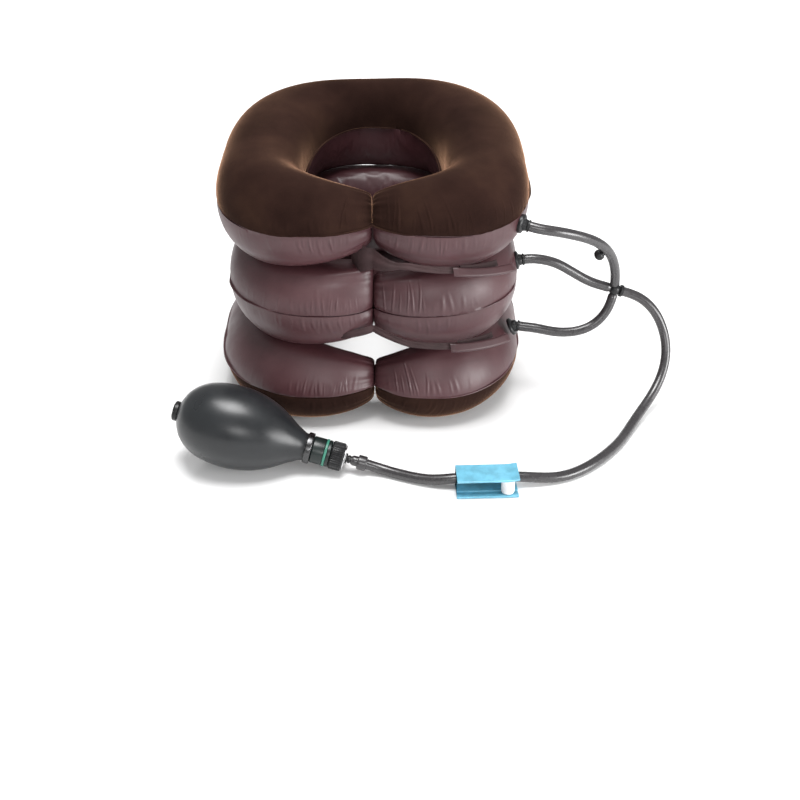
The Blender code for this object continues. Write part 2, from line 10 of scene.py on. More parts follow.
import bmesh
import bpy
import numpy as np
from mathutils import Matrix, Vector


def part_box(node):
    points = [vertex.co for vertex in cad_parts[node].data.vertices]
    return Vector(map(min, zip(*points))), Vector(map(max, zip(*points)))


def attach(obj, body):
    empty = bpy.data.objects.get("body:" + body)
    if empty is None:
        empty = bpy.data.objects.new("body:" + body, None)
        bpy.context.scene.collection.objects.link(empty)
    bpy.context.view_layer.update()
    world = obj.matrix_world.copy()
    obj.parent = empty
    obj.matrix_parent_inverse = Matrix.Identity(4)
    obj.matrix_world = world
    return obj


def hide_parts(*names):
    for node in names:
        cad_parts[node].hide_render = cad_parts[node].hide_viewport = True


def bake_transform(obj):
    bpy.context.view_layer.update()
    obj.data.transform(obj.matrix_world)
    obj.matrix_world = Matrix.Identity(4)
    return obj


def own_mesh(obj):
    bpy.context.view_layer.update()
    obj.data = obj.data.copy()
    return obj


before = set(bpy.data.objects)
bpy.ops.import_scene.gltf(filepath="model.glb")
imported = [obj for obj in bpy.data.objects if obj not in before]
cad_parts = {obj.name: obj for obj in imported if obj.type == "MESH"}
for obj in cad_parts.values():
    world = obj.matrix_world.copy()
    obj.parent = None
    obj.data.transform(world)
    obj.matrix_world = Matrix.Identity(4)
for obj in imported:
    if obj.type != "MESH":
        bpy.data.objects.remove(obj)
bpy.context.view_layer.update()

MM = 0.001
FRONT = -math.pi / 2
RANDOM = random.Random(7)

# ---------- collar ----------
HALF_WIDTH = 118 * MM  # mean plan that the straps follow
FRONT_DEPTH = 90 * MM
BACK_DEPTH = 133 * MM
PLAN_POWER = 2.35
SEAM_RIDGE = 1.8 * MM  # welded edge that stands out of the tube
SEAM_HALF = 0.55 * MM
RIM_WAVE = 0.35 * MM  # height of the waves in the welded edge
SEAM_SMOOTHING = 40  # passes that even out the rim's direction
TIER_SCALES = (0.987, 0.945, 1.0)  # the straps' plan at the lower, middle and upper chamber
CONTACT_PLANES = ((0.0, 0.0), (66 * MM, 0.024), (135 * MM, 0.070), (203 * MM, 0.095))
CONTACT_GAP = 0.25 * MM
DOME_LIFT = 1.08  # above 1, a dome is pressed flat where it meets the next chamber
PRESSED_EDGE = 0.035  # how softly the flat begins, as a share of the dome's height
TIP_LENGTH = 65 * MM  # stretch of each horn that narrows to its tip
TIP_POWER = 1.5
TIP_GAP = 0.15 * MM
TIP_ANGLE = 0.0008  # plan angle left out at each tip
TIP_NOSE = 5 * MM  # rounding of each horn's blunt end

Tier = namedtuple("Tier", (
    "half_width", "front", "back",  # reach of the outer seam from the ring centre
    "front_power", "back_power",    # superellipse powers of the plan
    "widening", "shift",            # growth to the back per metre, and sideways move of the horns
    "hole",                         # half width, front and back of the neck hole
    "seam",                         # height of the seam, and its rise per metre to the back
    "upper_power", "lower_power",   # superellipse powers of the section
    "tip", "crest", "recess",       # tip's share of the section, of the upper height; its way back
))
TIERS = (  # each inflated chamber's own shape, from the lowest up
    Tier(119.5 * MM, 90.5 * MM, 130.0 * MM, 2.2, 3.0, 0.43, -4.0 * MM, (45.4 * MM, 32.6 * MM, 89.8 * MM),
         (36 * MM, 0.080), 1.55, 1.9, 0.50, (0.32, 0.34), 16 * MM),
    Tier(112.2 * MM, 86.1 * MM, 126.0 * MM, 2.2, 3.0, 0.0, -1.0 * MM, (43.5 * MM, 31.2 * MM, 86.0 * MM),
         (102 * MM, 0.047), 2.2, 2.2, 0.48, (0.60, 0.97), 9 * MM),
    Tier(116.7 * MM, 87.0 * MM, 131.8 * MM, 2.45, 3.4, 0.0, -0.8 * MM, (50.5 * MM, 34.5 * MM, 97.0 * MM),
         (169.5 * MM, 0.098), 2.25, 2.2, 0.45, (0.46, 0.46), 14 * MM),
)
TOP_TIER = len(TIERS) - 1
GATHERS = (  # tier, sheet side, x range, spacing, length and height of each pleat
    (0, 1, (-54, -19), 5.2, 15, 1.1),
    (0, 1, (18, 41), 5.0, 30, 1.2),
    (1, 1, (-44, -10), 4.2, 13, 0.7),
    (1, 1, (9, 40), 5.4, 26, 0.8),
    (1, -1, (-42, -12), 4.4, 11, 0.8),
    (2, -1, (-48, -12), 4.4, 14, 0.9),
    (2, -1, (12, 60), 5.6, 14, 0.7),
    (2, 1, (12, 100), 7.5, 26, 0.55),
    (2, 1, (-22, -6), 4.5, 28, 0.8),
    (2, 1, (6, 20), 4.5, 26, 0.8),
)

COARSE = (301, 44)  # stations along a chamber, points around it, when simulated
FINE_ALONG = 3  # finer points per coarse one, after the simulation
FINE_AROUND = 2
TIP_CROWDING = 0.085  # how far the stations crowd towards the tips
SIMULATION_FRAMES = 16
VELVET_SLACK = 0.002  # spare cloth in each direction, which the pressure pulls into creases
VINYL_SLACK = 0.016
SIMULATION_CAP = 4.5 * MM  # farthest that the simulation may move a point
HELD_WITHIN = 1.2 * MM  # cloth nearer than this to the next layer is held still

top_lo, top_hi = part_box("upper_cover_velvet")
RING_CENTRE = Vector(((top_lo.x + top_hi.x) / 2, top_hi.y - BACK_DEPTH, 0))


# ---------- meshes ----------

def linked(name, data):
    """A new object in the scene."""
    made = bpy.data.objects.new(name, data)
    bpy.context.scene.collection.objects.link(made)
    return made


def new_piece(name, points, faces, material, body, smooth_angle=40):
    mesh = bpy.data.meshes.new(name)
    mesh.from_pydata([tuple(point) for point in points], [], faces)
    mesh.shade_smooth()
    mesh.set_sharp_from_angle(angle=math.radians(smooth_angle))
    mesh.materials.append(material)
    piece = linked(name, mesh)
    if body is not None:
        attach(piece, body)
    return piece


def grid_faces(rows, columns, closed=True):
    """Quads between successive rows of points; closed joins each row's last point to its first."""
    faces = []
    for row in range(rows - 1):
        for column in range(columns if closed else columns - 1):
            a = row * columns + column
            b = row * columns + (column + 1) % columns
            faces.append((a, b, b + columns, a + columns))
    return faces


def capped_faces(rows, columns):
    faces = grid_faces(rows, columns)
    last = (rows - 1) * columns
    faces.append(tuple(reversed(range(columns))))
    faces.append(tuple(range(last, last + columns)))
    return faces


def turned_out(piece):
    """Face normals made to point out of the piece."""
    build = bmesh.new()
    build.from_mesh(piece.data)
    bmesh.ops.recalc_face_normals(build, faces=build.faces)
    build.to_mesh(piece.data)
    build.free()
    return piece


def add_modifier(piece, kind, **settings):
    modifier = piece.modifiers.new(kind.lower(), kind)
    for key, value in settings.items():
        setattr(modifier, key, value)
    return modifier


def axis_frame(direction):
    helper = Vector((0, 1, 0)) if abs(direction.z) > 0.9 else Vector((0, 0, 1))
    across = direction.cross(helper).normalized()
    return across, across.cross(direction).normalized()


def turned(name, outline, base, direction, material, body, sides=64, radius_of=None, smooth_angle=35):
    """Revolve an outline of (distance, radius) in mm; it may be closed on itself or end on the axis."""
    across, above = axis_frame(direction)
    closed = outline[0] == outline[-1]
    if closed:
        outline = outline[:-1]
    points = []
    for distance, radius in outline:
        for step in range(sides):
            angle = 2 * math.pi * step / sides
            out = across * math.cos(angle) + above * math.sin(angle)
            actual = radius if radius_of is None else radius_of(distance, radius, step)
            points.append(base + direction * (distance * MM) + out * (actual * MM))
    rows = len(outline)
    faces = grid_faces(rows, sides) if closed else capped_faces(rows, sides)
    if closed:
        last = (rows - 1) * sides
        for step in range(sides):
            follow = (step + 1) % sides
            faces.append((last + step, last + follow, follow, step))
    return turned_out(new_piece(name, points, faces, material, body, smooth_angle))


def curved_outline(knots, spacing=0.6):
    """Points on a smooth curve through (distance, radius) knots."""
    points = natural_spline(np.array([(a, b, 0.0) for a, b in knots]), 40 * len(knots))
    run = run_along(points)
    wanted = np.linspace(0, run[-1], max(4, int(run[-1] / spacing)))
    return [(float(np.interp(place, run, points[:, 0])), float(np.interp(place, run, points[:, 1])))
            for place in wanted]


# ---------- camera, stage and lights ----------

def add_camera():
    """The viewing angle: a little above the collar, from the front."""
    pitch = 0.581
    yaw = -0.005
    view = Vector((math.sin(yaw) * math.cos(pitch), math.cos(yaw) * math.cos(pitch), -math.sin(pitch)))
    data = bpy.data.cameras.new("camera")
    data.sensor_width = 36
    data.lens = 49.11
    camera = linked("camera", data)
    camera.location = RING_CENTRE + Vector((0.023, -0.7648, 0.4811))
    camera.rotation_euler = view.to_track_quat("-Z", "Y").to_euler()
    bpy.context.scene.camera = camera


def add_area_light(name, place, target, size, energy, mirrored=True):
    """Area light; one that is not mirrored leaves no highlights."""
    data = bpy.data.lights.new(name, "AREA")
    data.shape = "RECTANGLE"
    data.size, data.size_y = size
    data.energy = energy
    light = linked(name, data)
    light.location = place
    light.rotation_euler = (Vector(target) - Vector(place)).to_track_quat("-Z", "Y").to_euler()
    light.visible_glossy = mirrored


def add_studio():
    mesh = bpy.data.meshes.new("studio_floor")
    reach = 6.0
    mesh.from_pydata([(-reach, -reach, 0), (reach, -reach, 0), (reach, reach, 0), (-reach, reach, 0)],
                     [], [(0, 1, 2, 3)])
    floor = linked("studio_floor", mesh)
    floor.location.z = -0.2 * MM
    mesh.materials.append(Shader("floor_paper", (0.93, 0.93, 0.93), 0.9).material)
    world = bpy.data.worlds.new("studio")
    world.use_nodes = True
    background = world.node_tree.nodes["Background"]
    background.inputs["Color"].default_value = (1, 1, 1, 1)
    background.inputs["Strength"].default_value = 0.42
    bpy.context.scene.world = world
    bpy.context.scene.view_settings.view_transform = "Standard"
    add_area_light("key", (0.10, -1.35, 0.66), (0, 0, 0.10), (0.5, 0.35), 4)
    add_area_light("top", (0.05, -0.15, 1.5), (0, 0, 0), (0.7, 0.7), 23)
    add_area_light("side", (1.1, -0.62, 0.26), (0, 0, 0.08), (0.7, 0.5), 13)
    add_area_light("back", (0.0, 1.45, 1.25), (0, 0.65, 0), (1.4, 0.5), 16, mirrored=False)


# ---------- materials ----------

class Shader:
    """A node material, built up around one Principled BSDF."""

    def __init__(self, name, colour, roughness, **sockets):
        self.material = bpy.data.materials.new(name)
        self.material.use_nodes = True
        self.tree = self.material.node_tree
        self.principled = self.tree.nodes["Principled BSDF"]
        self.principled.inputs["Base Color"].default_value = (*colour, 1)
        self.principled.inputs["Roughness"].default_value = roughness
        for socket, value in sockets.items():
            self.principled.inputs[socket.replace("_", " ")].default_value = value
        self.height = None

    def node(self, kind, inputs=(), **settings):
        made = self.tree.nodes.new(kind)
        for key, value in settings.items():
            setattr(made, key, value)
        for socket, value in dict(inputs).items():
            if isinstance(value, bpy.types.NodeSocket):
                self.tree.links.new(value, made.inputs[socket])
            else:
                made.inputs[socket].default_value = value
        return made

    def place(self):
        return self.node("ShaderNodeTexCoord").outputs["Object"]

    def noise(self, scale, detail=3.0, roughness=0.55):
        made = self.node("ShaderNodeTexNoise",
                         {"Vector": self.place(), "Scale": scale, "Detail": detail, "Roughness": roughness})
        return made.outputs["Fac"]

    def mottled(self, noise, *stops):
        """Base colour from noise, by (position, colour) stops."""
        made = self.node("ShaderNodeValToRGB", {"Fac": noise})
        ramp = made.color_ramp
        while len(ramp.elements) < len(stops):
            ramp.elements.new(0.5)
        for element, (position, colour) in zip(ramp.elements, stops):
            element.position = position
            element.color = (*colour, 1)
        self.tree.links.new(made.outputs["Color"], self.principled.inputs["Base Color"])
        return self

    def uneven(self, noise, low, high):
        """Roughness from noise, between two values."""
        made = self.node("ShaderNodeMapRange", {"Value": noise, "From Min": 0.3, "From Max": 0.7,
                                                "To Min": low, "To Max": high})
        self.tree.links.new(made.outputs["Result"], self.principled.inputs["Roughness"])
        return self

    def bump(self, source, distance, strength=1.0):
        """One more layer of bump on top of those already there."""
        made = self.node("ShaderNodeBump", {"Height": source, "Distance": distance, "Strength": strength})
        if self.height is not None:
            self.tree.links.new(self.height, made.inputs["Normal"])
        self.height = made.outputs["Normal"]
        self.tree.links.new(self.height, self.principled.inputs["Normal"])
        return self


def velvet_material():
    """Short flocked pile: mottled nap, fuzzy edge light and a fine grain."""
    shader = Shader("velvet", (0.02, 0.01, 0.008), 0.9, Sheen_Weight=0.85, Sheen_Roughness=0.24,
                    Sheen_Tint=(0.80, 0.45, 0.28, 1), Specular_IOR_Level=0.06)
    shader.mottled(shader.noise(22, 3, 0.6), (0.30, (0.014, 0.0060, 0.0046)),
                   (0.52, (0.022, 0.0100, 0.0075)), (0.75, (0.034, 0.0165, 0.0112)))
    shader.bump(shader.noise(1400, 2, 0.7), 0.25 * MM, 0.55)
    return shader.bump(shader.noise(90, 3, 0.6), 0.5 * MM, 0.25).material


def vinyl_material(name="vinyl", lift=1.0):
    """Soft satin vinyl with faint flow marks and a fine pressed grain."""
    shader = Shader(name, (0.07, 0.03, 0.034), 0.42, Coat_Weight=0.10, Coat_Roughness=0.45,
                    Specular_IOR_Level=0.50)
    stops = ((0.30, (0.048, 0.015, 0.018)), (0.55, (0.068, 0.024, 0.028)), (0.78, (0.092, 0.038, 0.042)))
    lifted = [(at, tuple(part * lift for part in colour)) for at, colour in stops]
    shader.mottled(shader.noise(16, 4, 0.6), *lifted)
    shader.uneven(shader.noise(60, 3, 0.6), 0.36, 0.50)
    grain = shader.node("ShaderNodeTexVoronoi", {"Vector": shader.place(), "Scale": 1500.0})
    shader.bump(grain.outputs["Distance"], 0.06 * MM, 0.35)
    return shader.bump(shader.noise(120, 4, 0.65), 0.4 * MM, 0.30).material


def hose_material():
    """Dark grey extruded tube with a soft gloss."""
    shader = Shader("hose_rubber", (0.030, 0.028, 0.030), 0.28, Specular_IOR_Level=0.8)
    shader.mottled(shader.noise(40), (0.3, (0.024, 0.022, 0.024)), (0.7, (0.036, 0.033, 0.035)))
    shader.uneven(shader.noise(180), 0.22, 0.32)
    return shader.bump(shader.noise(900, 2), 0.04 * MM, 0.25).material


def bulb_material():
    """Moulded black rubber with a fine satin skin."""
    shader = Shader("bulb_rubber", (0.021, 0.023, 0.026), 0.38, Specular_IOR_Level=0.5)
    shader.mottled(shader.noise(28, 4), (0.3, (0.010, 0.011, 0.0125)), (0.7, (0.018, 0.020, 0.022)))
    shader.uneven(shader.noise(70, 4), 0.27, 0.36)
    return shader.bump(shader.noise(700), 0.05 * MM, 0.3).material


def plastic_material(name, colour, roughness, grain=0.05, **sockets):
    """Injection-moulded plastic: slight flow marks and a fine spark texture."""
    shader = Shader(name, colour, roughness, **sockets)
    dark = tuple(part * 0.86 for part in colour)
    light = tuple(min(1.0, part * 1.12) for part in colour)
    shader.mottled(shader.noise(150), (0.35, dark), (0.65, light))
    shader.uneven(shader.noise(400, 2), roughness * 0.85, min(1.0, roughness * 1.2))
    return shader.bump(shader.noise(1600, 2), grain * MM, 0.3).material


def metal_material(name, tone):
    shader = Shader(name, (tone, tone, tone * 1.02), 0.28, Metallic=1.0)
    shader.uneven(shader.noise(500, 2), 0.2, 0.38)
    return shader.bump(shader.noise(2500, 1), 0.01 * MM, 0.3).material


def webbing_material():
    """Flat woven band with a fine rib and a soft sheen."""
    shader = Shader("webbing", (0.075, 0.030, 0.036), 0.75, Sheen_Weight=0.08, Sheen_Roughness=0.4,
                    Sheen_Tint=(0.7, 0.4, 0.4, 1))
    shader.mottled(shader.noise(45), (0.3, (0.022, 0.0075, 0.008)), (0.7, (0.038, 0.014, 0.0155)))
    rib = shader.node("ShaderNodeTexWave", {"Vector": shader.place(), "Scale": 420.0, "Distortion": 0.6},
                      bands_direction="Z")
    return shader.bump(rib.outputs["Fac"], 0.12 * MM, 0.5).material


VELVET = velvet_material()
VINYL = vinyl_material()
TAB_VINYL = vinyl_material("tab_vinyl", 0.70)
WEBBING = webbing_material()
HOSE = hose_material()
BULB = bulb_material()
BLACK = plastic_material("black_plastic", (0.009, 0.009, 0.010), 0.36, Specular_IOR_Level=0.4)
VALVE_GREEN = plastic_material("valve_plastic", (0.006, 0.012, 0.011), 0.32)
RING_GREEN = plastic_material("green_plastic", (0.040, 0.200, 0.140), 0.38)
METAL = metal_material("bright_metal", 0.62)
DARK_METAL = metal_material("blackened_metal", 0.09)
CLEAR_BLUE = plastic_material("clear_blue_plastic", (0.20, 0.56, 0.74), 0.22, 0.02,
                              Transmission_Weight=0.25, IOR=1.49)
ROLLER_WHITE = plastic_material("white_plastic", (0.82, 0.82, 0.83), 0.35)


# ---------- hoses ----------

HOSE_RADIUS = 3.75 * MM
HOSE_SIDES = 24
STRAIGHT_RUN = 4 * MM
CROSS_CENTRE = Vector((186.7, -4.0, 85.8)) * MM
CROSS_REACH = 8.5 * MM
CROSS_ARMS = {
    "up": Vector((-0.08, -0.20, 0.98)).normalized(),
    "down": Vector((-0.21, -0.25, -0.94)).normalized(),
    "left": Vector((-0.97, -0.03, 0.30)).normalized(),
    "right": Vector((1, 0, -0.30)).normalized(),
}
PORTS = {  # foot on the chamber, outward normal, direction of the nipple
    "upper": (Vector((106.8, -40.9, 157.2)) * MM, Vector((0.885, -0.441, -0.150)),
              Vector((0.94, -0.27, -0.19))),
    "middle": (Vector((108.1, -8.5, 112.6)) * MM, Vector((0.976, -0.065, 0.207)),
               Vector((0.99, 0.02, 0.12))),
    "lower": (Vector((107.3, -12.0, 56.6)) * MM, Vector((0.848, -0.094, 0.521)),
              Vector((0.98, -0.14, -0.10))),
}
NIPPLE_FOOT = 2.5 * MM  # height of the nipple's start above the chamber
NIPPLE_LENGTH = 6 * MM
BULB_TAIL = Vector((-139.6, -111.0, 41.2)) * MM
BULB_AXIS = Vector((0.963, -0.127, -0.238)).normalized()
BARB_END = 133.4  # along the bulb's axis, in millimetres, where the hose's sleeve starts
PUSHED_ON = 4.5 * MM  # how far a hose is pushed over a fitting
STUB_PLACE = Vector((174.3, -19.6, 126.6)) * MM
EASING_PASSES = 60


def in_ring(*points):
    """Places in millimetres from the ring centre, in metres from the origin."""
    return [Vector(point) * MM + RING_CENTRE for point in points]


UPPER_ROUTE = in_ring((128, -44.9, 153.6), (141, -41.4, 149.7), (153.5, -35.1, 144), (165.3, -27.1, 136.2),
                      (175.2, -18.8, 125.7), (182.3, -11.3, 112))
MIDDLE_ROUTE = in_ring((128, -8.2, 113.2), (138, -7.2, 110.2), (148, -6.2, 104.2), (158, -5.3, 97.6),
                       (168, -4.6, 91.8))
LOWER_ROUTE = in_ring((125, -14.6, 57.2), (135, -15.6, 55), (146.5, -16, 53.6), (158.5, -15, 54),
                      (170, -12.6, 57.4), (179.1, -9.8, 65))
MAIN_ROUTE = in_ring((207, -4.5, 79), (218.5, -7, 69.5), (226.5, -11.5, 56), (230, -19.5, 40.5),
                     (226.5, -31, 25), (217, -45, 13.5), (205, -61, 7), (194, -79, 4.2),
                     (183, -97, 3.8), (167, -116, 3.8), (151, -130, 3.8), (134, -138.5, 4.0),
                     (118, -141.7, 6.0), (104.5, -143.1, 7.8), (82, -144.1, 7.9), (59.5, -145.1, 7.8),
                     (45, -144.0, 5.2), (31, -139.9, 4.0), (18, -134.8, 3.8), (7, -130.6, 4.6))


def natural_spline(knots, count):
    """Points on a natural cubic spline through the knots."""
    chords = np.linalg.norm(np.diff(knots, axis=0), axis=1)
    places = np.concatenate(([0.0], np.cumsum(np.sqrt(chords))))
    steps = np.diff(places)
    matrix = np.eye(len(knots))
    right = np.zeros(knots.shape)
    for i in range(1, len(knots) - 1):
        matrix[i, i - 1:i + 2] = (steps[i - 1], 2 * (steps[i - 1] + steps[i]), steps[i])
        right[i] = 6 * ((knots[i + 1] - knots[i]) / steps[i] - (knots[i] - knots[i - 1]) / steps[i - 1])
    bends = np.linalg.solve(matrix, right)
    wanted = np.linspace(0, places[-1], count)
    i = np.clip(np.searchsorted(places, wanted, side="right") - 1, 0, len(knots) - 2)
    step = steps[i][:, None]
    a = (places[i + 1] - wanted)[:, None] / step
    b = 1 - a
    bend = ((a ** 3 - a) * bends[i] + (b ** 3 - b) * bends[i + 1]) * step ** 2 / 6
    return a * knots[i] + b * knots[i + 1] + bend


def run_along(points):
    return np.concatenate(([0.0], np.cumsum(np.linalg.norm(np.diff(points, axis=0), axis=1))))


def even_points(points, spacing):
    run = run_along(points)
    wanted = np.linspace(0, run[-1], max(5, int(round(run[-1] / spacing)) + 1))
    return np.stack([np.interp(wanted, run, points[:, axis]) for axis in range(3)], axis=1)


def hose_line(route, spacing=1.5 * MM):
    """A smooth centreline through the route, its tightest bends eased as a tube eases them."""
    points = even_points(natural_spline(np.array([tuple(p) for p in route]), 600), 1 * MM)
    for _ in range(EASING_PASSES):
        points[1:-1] = (points[1:-1] + (points[:-2] + points[2:]) / 2) / 2
    return even_points(points, spacing)


def cross_arm(which, reach):
    return CROSS_CENTRE + CROSS_ARMS[which] * reach + RING_CENTRE


def cross_end(which):
    return [cross_arm(which, CROSS_REACH + STRAIGHT_RUN), cross_arm(which, CROSS_REACH - PUSHED_ON)]


def port_start(which):
    foot, normal, outlet = PORTS[which]
    start = foot + normal * NIPPLE_FOOT + outlet.normalized() * (NIPPLE_LENGTH - PUSHED_ON) + RING_CENTRE
    return [start, start + outlet.normalized() * (STRAIGHT_RUN + PUSHED_ON)]


def on_axis(distance):
    return BULB_TAIL + BULB_AXIS * (distance * MM) + RING_CENTRE


def tube_rings(path, radius_at, sides):
    """Rings across a path, without twist."""
    tangents = np.gradient(path, axis=0)
    tangents /= np.linalg.norm(tangents, axis=1)[:, None]
    side = np.array(axis_frame(Vector(tangents[0]))[0])
    rings = []
    turns = 2 * math.pi * np.arange(sides) / sides
    for place, (point, tangent) in enumerate(zip(path, tangents)):
        side = side - tangent * side.dot(tangent)
        side /= np.linalg.norm(side)
        up = np.cross(side, tangent)
        out = np.cos(turns)[:, None] * side + np.sin(turns)[:, None] * up
        rings.append(point + out * radius_at(place))
    return np.concatenate(rings)


def add_hose(name, route):
    """A round hose along the route, its cut ends slightly rounded."""
    path = hose_line(route)
    ends = {0: 0.80, len(path) - 1: 0.80}

    def radius_at(place):
        return HOSE_RADIUS * ends.get(place, 1.0)

    points = tube_rings(path, radius_at, HOSE_SIDES)
    return turned_out(new_piece(name, points, capped_faces(len(path), HOSE_SIDES), HOSE, None)), path


def add_hoses():
    hoses = {}
    for which, route, arm in (("upper", UPPER_ROUTE, "up"), ("middle", MIDDLE_ROUTE, "left"),
                              ("lower", LOWER_ROUTE, "down")):
        node = which + "_branch_hose"
        hose, path = add_hose(node + "_tube", port_start(which) + route + cross_end(arm))
        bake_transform(hose)
        hoses[node] = hose
    start = [cross_arm("right", CROSS_REACH - PUSHED_ON), cross_arm("right", CROSS_REACH + STRAIGHT_RUN)]
    barb = on_axis(BARB_END)
    tail = [barb + BULB_AXIS * (7 * MM), barb - BULB_AXIS * PUSHED_ON]
    hose, path = add_hose("main_hose_tube", start + MAIN_ROUTE + tail)
    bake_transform(hose)
    hoses["main_hose"] = hose
    for node, piece in hoses.items():
        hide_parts(node)


# ---------- fittings on the hoses ----------

def united(name, parts, material, body):
    """One closed piece from overlapping closed parts."""
    target = parts[0]
    for other in parts[1:]:
        add_modifier(target, "BOOLEAN", operation="UNION", object=other, solver="EXACT")
    bpy.context.view_layer.update()
    evaluated = target.evaluated_get(bpy.context.evaluated_depsgraph_get())
    mesh = bpy.data.meshes.new_from_object(evaluated)
    for part in parts:
        bpy.data.objects.remove(part, do_unlink=True)
    mesh.shade_smooth()
    mesh.set_sharp_from_angle(angle=math.radians(35))
    mesh.materials.clear()
    mesh.materials.append(material)
    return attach(linked(name, mesh), body)


def stand_for(piece, node):
    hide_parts(node)
    return piece


def rounded(corners, radius=0.3, steps=3):
    """A closed outline of (distance, radius) with its corners rounded."""
    result = []
    count = len(corners)
    for i in range(count):
        here = Vector(corners[i])
        before = Vector(corners[i - 1]) - here
        after = Vector(corners[(i + 1) % count]) - here
        reach = min(radius, before.length * 0.45, after.length * 0.45)
        first = here + before.normalized() * reach
        last = here + after.normalized() * reach
        for step in range(steps + 1):
            share = step / steps
            bend = first * (1 - share) ** 2 + here * (2 * share * (1 - share)) + last * share ** 2
            result.append(tuple(bend))
    return result + result[:1]


def add_cross_connector():
    """Four-way hub whose arms the hoses are pushed over."""
    centre = CROSS_CENTRE + RING_CENTRE
    hub = [(-4.9, 0.6), (-4.6, 2.0), (-3.6, 3.4), (-2.0, 4.4), (0, 4.8), (2.0, 4.4), (3.6, 3.4), (4.6, 2.0),
           (4.9, 0.6)]
    parts = [turned("hub", hub, centre, Vector((0, 1, 0)), BLACK, None, 32)]
    for which, direction in CROSS_ARMS.items():
        arm = [(0.4, 2.9), (4.0, 2.9), (4.0, 3.0), (5.6, 3.1), (7.9, 2.6)]
        if which == "right":
            arm = [(0.4, 2.9), (4.0, 2.9), (4.2, 4.4), (4.6, 4.7), (6.2, 4.7), (6.6, 4.4), (6.8, 3.0),
                   (7.9, 2.6)]
        parts.append(turned("arm", arm, centre, direction, BLACK, None, 32))
    return stand_for(united("cross_connector_moulding", parts, BLACK, "lower_layer"),
                     "cross_connector")


def add_port(which):
    """Welded flange with a raised hub and a nipple, moulded in one piece."""
    foot, normal, outlet = PORTS[which]
    foot = foot + RING_CENTRE
    flange = [(-1.0, 0.5), (-1.0, 7.0), (0.7, 7.0), (1.2, 6.6), (1.8, 5.4), (2.1, 4.5), (4.2, 4.0),
              (4.9, 3.4), (5.1, 1.0)]
    nipple = [(0, 0.8), (0, 3.1), (2.0, 3.2), (2.2, 4.5), (3.4, 4.5), (3.7, 3.0), (6.0, 2.7), (6.0, 0.8)]
    parts = [turned("flange", flange, foot, normal.normalized(), BLACK, None, 40),
             turned("nipple", nipple, foot + normal * NIPPLE_FOOT, outlet.normalized(), BLACK, None, 40)]
    piece = united(which + "_port_moulding", parts, BLACK, which + "_port_body")
    return stand_for(piece, which + "_port")


def add_stub_cap():
    """Small round cap on the blanked outlet of the upper branch."""
    path = hose_line(port_start("upper") + UPPER_ROUTE + cross_end("up"))
    place = STUB_PLACE + RING_CENTRE
    near = int(np.argmin(np.linalg.norm(path - np.array(place), axis=1)))
    tangent = Vector(path[near + 1] - path[near - 1]).normalized()
    away = Vector((-0.75, 0.10, -0.65))
    away = (away - tangent * away.dot(tangent)).normalized()
    base = Vector(path[near]) + away * (HOSE_RADIUS - 0.6 * MM)
    knots = [(0, 2.2), (0.9, 2.6), (1.8, 3.7), (3.4, 4.2), (5.2, 3.9), (6.6, 2.8), (7.3, 1.2), (7.45, 0.2)]
    cap = turned("branch_stub_cap_moulding", curved_outline(knots, 0.4), base, away, BLACK, "lower_layer", 40)
    return stand_for(cap, "branch_stub_cap")


def add_sleeve():
    """Rubber sleeve that grips the hose end on the barb."""
    outline = rounded([(0.2, 3.9), (0.2, 5.1), (1.2, 5.4), (6.0, 5.4), (6.9, 4.9), (6.9, 3.9)], 0.5)
    sleeve = turned("hose_end_sleeve_rubber", outline, on_axis(BARB_END), BULB_AXIS, HOSE, "base", 48)
    return stand_for(sleeve, "hose_end_sleeve")


# ---------- bulb and valve ----------

BULB_KNOTS = (
    (0.0, 8.2), (2.5, 13.8), (6, 18.8), (12, 23.8), (20, 27.6), (31, 29.8), (43, 30.2),
    (55, 28.6), (66, 25.2), (76, 20.2), (84, 15.0), (90, 11.6), (94, 10.0), (98, 9.8),
)
KNURLS = 40


def axis_piece(name, outline, material, node, body="base", sides=64, radius_of=None):
    piece = turned(name, outline, on_axis(0), BULB_AXIS, material, body, sides, radius_of)
    return stand_for(piece, node)


def add_bulb():
    """Moulded hollow bulb with a rolled lip at the tail and a thick neck."""
    outer = curved_outline(BULB_KNOTS, 1.0)
    inner = [(distance, max(radius - 2.6, 6.2)) for distance, radius in reversed(outer[4:-4:4])]
    lip = [(-0.15, 7.4), (-0.15, 4.7)]
    outline = lip[::-1] + [(-0.1, 7.9)] + outer + [(98.2, 9.4), (98.2, 6.2)] + inner
    outline.append(outline[0])
    axis_piece("bulb_moulding", outline, BULB, "bulb", sides=96)


def add_inlet():
    seat = rounded([(-4.2, 1.4), (-4.2, 6.3), (-3.4, 7.3), (-0.4, 7.3), (-0.4, 4.2), (10.5, 4.2),
                    (10.5, 3.0), (2.6, 3.0), (0.6, 1.4)], 0.5)
    axis_piece("inlet_valve_seat_moulding", seat, BLACK, "inlet_valve_seat")


